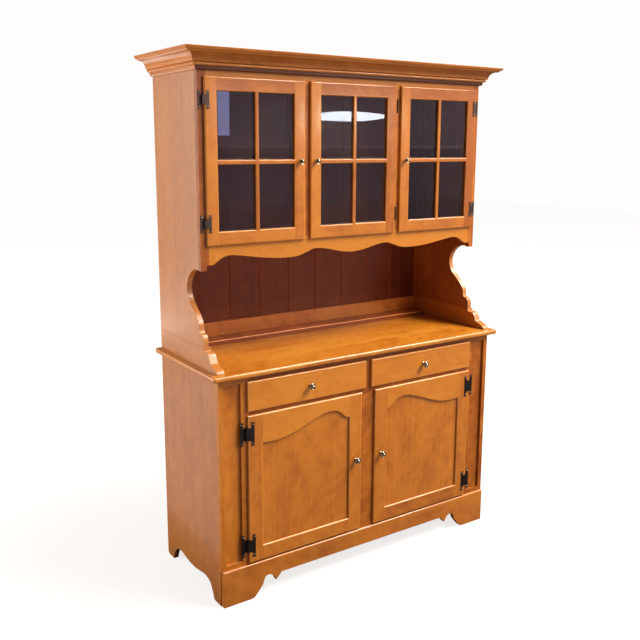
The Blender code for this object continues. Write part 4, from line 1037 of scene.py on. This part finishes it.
# Hinges: H-hinges cut from plate and hammered, each leaf held by two forged nails with faceted heads.
# They are blacked on the lower doors and plated with dull pewter on the upper ones, where the plate is
# worn bright on the nails. The middle door has butt hinges, so only the knuckles show.
iron = hammered_metal("blacked_iron", "3A3634", 0.5)
NAIL_DENT, NAIL_DENT_DEPTH = 0.0012, 0.00005
nail_iron = hammered_metal("rubbed_iron", "B4A498", 0.30, NAIL_DENT, NAIL_DENT_DEPTH)
nail_pewter = hammered_metal("bright_pewter", "D8CABC", 0.28, NAIL_DENT, NAIL_DENT_DEPTH)
NAIL_SIDES = 8
NAIL_EDGE = 0.12
NAIL_RINGS = ((1.0, 0.15), (0.72, 0.50), (0.216, 0.75))
forged_nail = turned(NAIL_SIDES, 1.0, NAIL_RINGS)
eased(forged_nail, NAIL_EDGE)
LEAF_EDGE = 0.0003
TIP_SHARE = 0.8
NAIL_FROM_END = 0.7
NAIL_LIFT = 0.1


def nailed(node, bar, head, metal, nail_metal, slot):
    """One leaf with its two nails, each so far from its end as the width of the bar asks. The bar of
    the leaf lies on the side away from the pin, and head is the radius of the nails."""
    piece = blank(node)
    low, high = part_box(node)
    middle, half = (low.z + high.z) / 2, (high.z - low.z) / 2
    tips = [v.co for v in piece.data.vertices if abs(v.co.z - middle) > half * TIP_SHARE]
    left, right = min(tip.x for tip in tips), max(tip.x for tip in tips)
    face = min(tip.y for tip in tips)
    eased(piece, LEAF_EDGE)
    piece.data.materials.append(metal)
    reach = half - bar * NAIL_FROM_END
    for number, z in enumerate((middle - reach, middle + reach)):
        place = ((left + right) / 2, face + head * NAIL_LIFT, z)
        nail = copied(forged_nail, f"nail_{number}", place, TO_FRONT, head)
        nail.data.materials.append(nail_metal)
        nail.select_set(True)
        piece.select_set(True)
        bpy.context.view_layer.objects.active = piece
        bpy.ops.object.join()


LOWER_HINGES = (0.0105, 0.0024, iron, nail_iron, "black_iron")
UPPER_HINGES = (0.0075, 0.0019, pewter, nail_pewter, "dark_pewter")
for side in ("left", "right"):
    for level in ("upper", "lower"):
        for leaf in ("frame", "door"):
            nailed(f"base_{side}_door_{level}_hinge_{leaf}_leaf", *LOWER_HINGES)
            nailed(f"hutch_{side}_door_{level}_hinge_{leaf}_leaf", *UPPER_HINGES)
bpy.data.objects.remove(forged_nail)
BUTT_EDGE = 0.0002
for level in ("upper", "lower"):
    piece = blank(f"hutch_middle_door_{level}_hinge_leaf")
    eased(piece, BUTT_EDGE)
    piece.data.materials.append(pewter)


# Brads: small steel heads that hold both back panels to the case, two to a plank above and a row at
# each board and side below. The panels lie a little in, so the heads come flush with the case.
BRAD_HEAD = 0.0017
BRAD_RISE = 0.0003
BRAD_SIDES = 10
BRAD_RINGS = ((1.0, 0.10), (0.7, 0.15))
brad = turned(BRAD_SIDES, 1.0, BRAD_RINGS)
brad.data.materials.append(iron)
panel_low, panel_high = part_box("base_back_panel")
BRAD_INSET = 0.022
EDGE_INSET = 0.006
SPACING = 0.105
COLUMNS_PER_SIDE = 5
ROWS = 7
upper_brads = [
    (back_low.x + (step + 0.5) * plank + turn * (plank / 2 - BRAD_INSET), (low.z + high.z) / 2)
    for low, high in (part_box(node) for node in ("hutch_deck", "hutch_shelf", "hutch_top_board"))
    for step in range(PLANKS)
    for turn in (-1, 1)
]
BRAD_LINES = (
    panel_low.z + EDGE_INSET,
    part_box("base_shelf")[0].z + EDGE_INSET,
    panel_high.z - EDGE_INSET,
)
lower_brads = [
    (step * SPACING, z)
    for z in BRAD_LINES
    for step in range(-COLUMNS_PER_SIDE, COLUMNS_PER_SIDE + 1)
] + [
    (turn * (panel_high.x - EDGE_INSET), panel_low.z + EDGE_INSET + step * SPACING)
    for turn in (-1, 1)
    for step in range(ROWS)
]
TO_REAR = (-math.pi / 2, 0, 0)
for panel, places in (("hutch_back_panel", upper_brads), ("base_back_panel", lower_brads)):
    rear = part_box(panel)[1].y
    rear_points(bpy.data.objects[f"{panel}_finished"], rear)
    bpy.ops.transform.translate(value=(0, -BRAD_RISE, 0))
    bpy.ops.object.mode_set(mode="OBJECT")
    heads = [
        copied(brad, f"{panel}_brad_{number}", (x, rear - BRAD_RISE, z), TO_REAR, BRAD_HEAD)
        for number, (x, z) in enumerate(places)
    ]
    for head in heads:
        head.select_set(True)
    bpy.ops.object.join()
    brads = bpy.context.active_object
    brads.name = f"{panel}_brads"
    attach(brads, frame["nodes"][panel]["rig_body"])
bpy.data.objects.remove(brad)
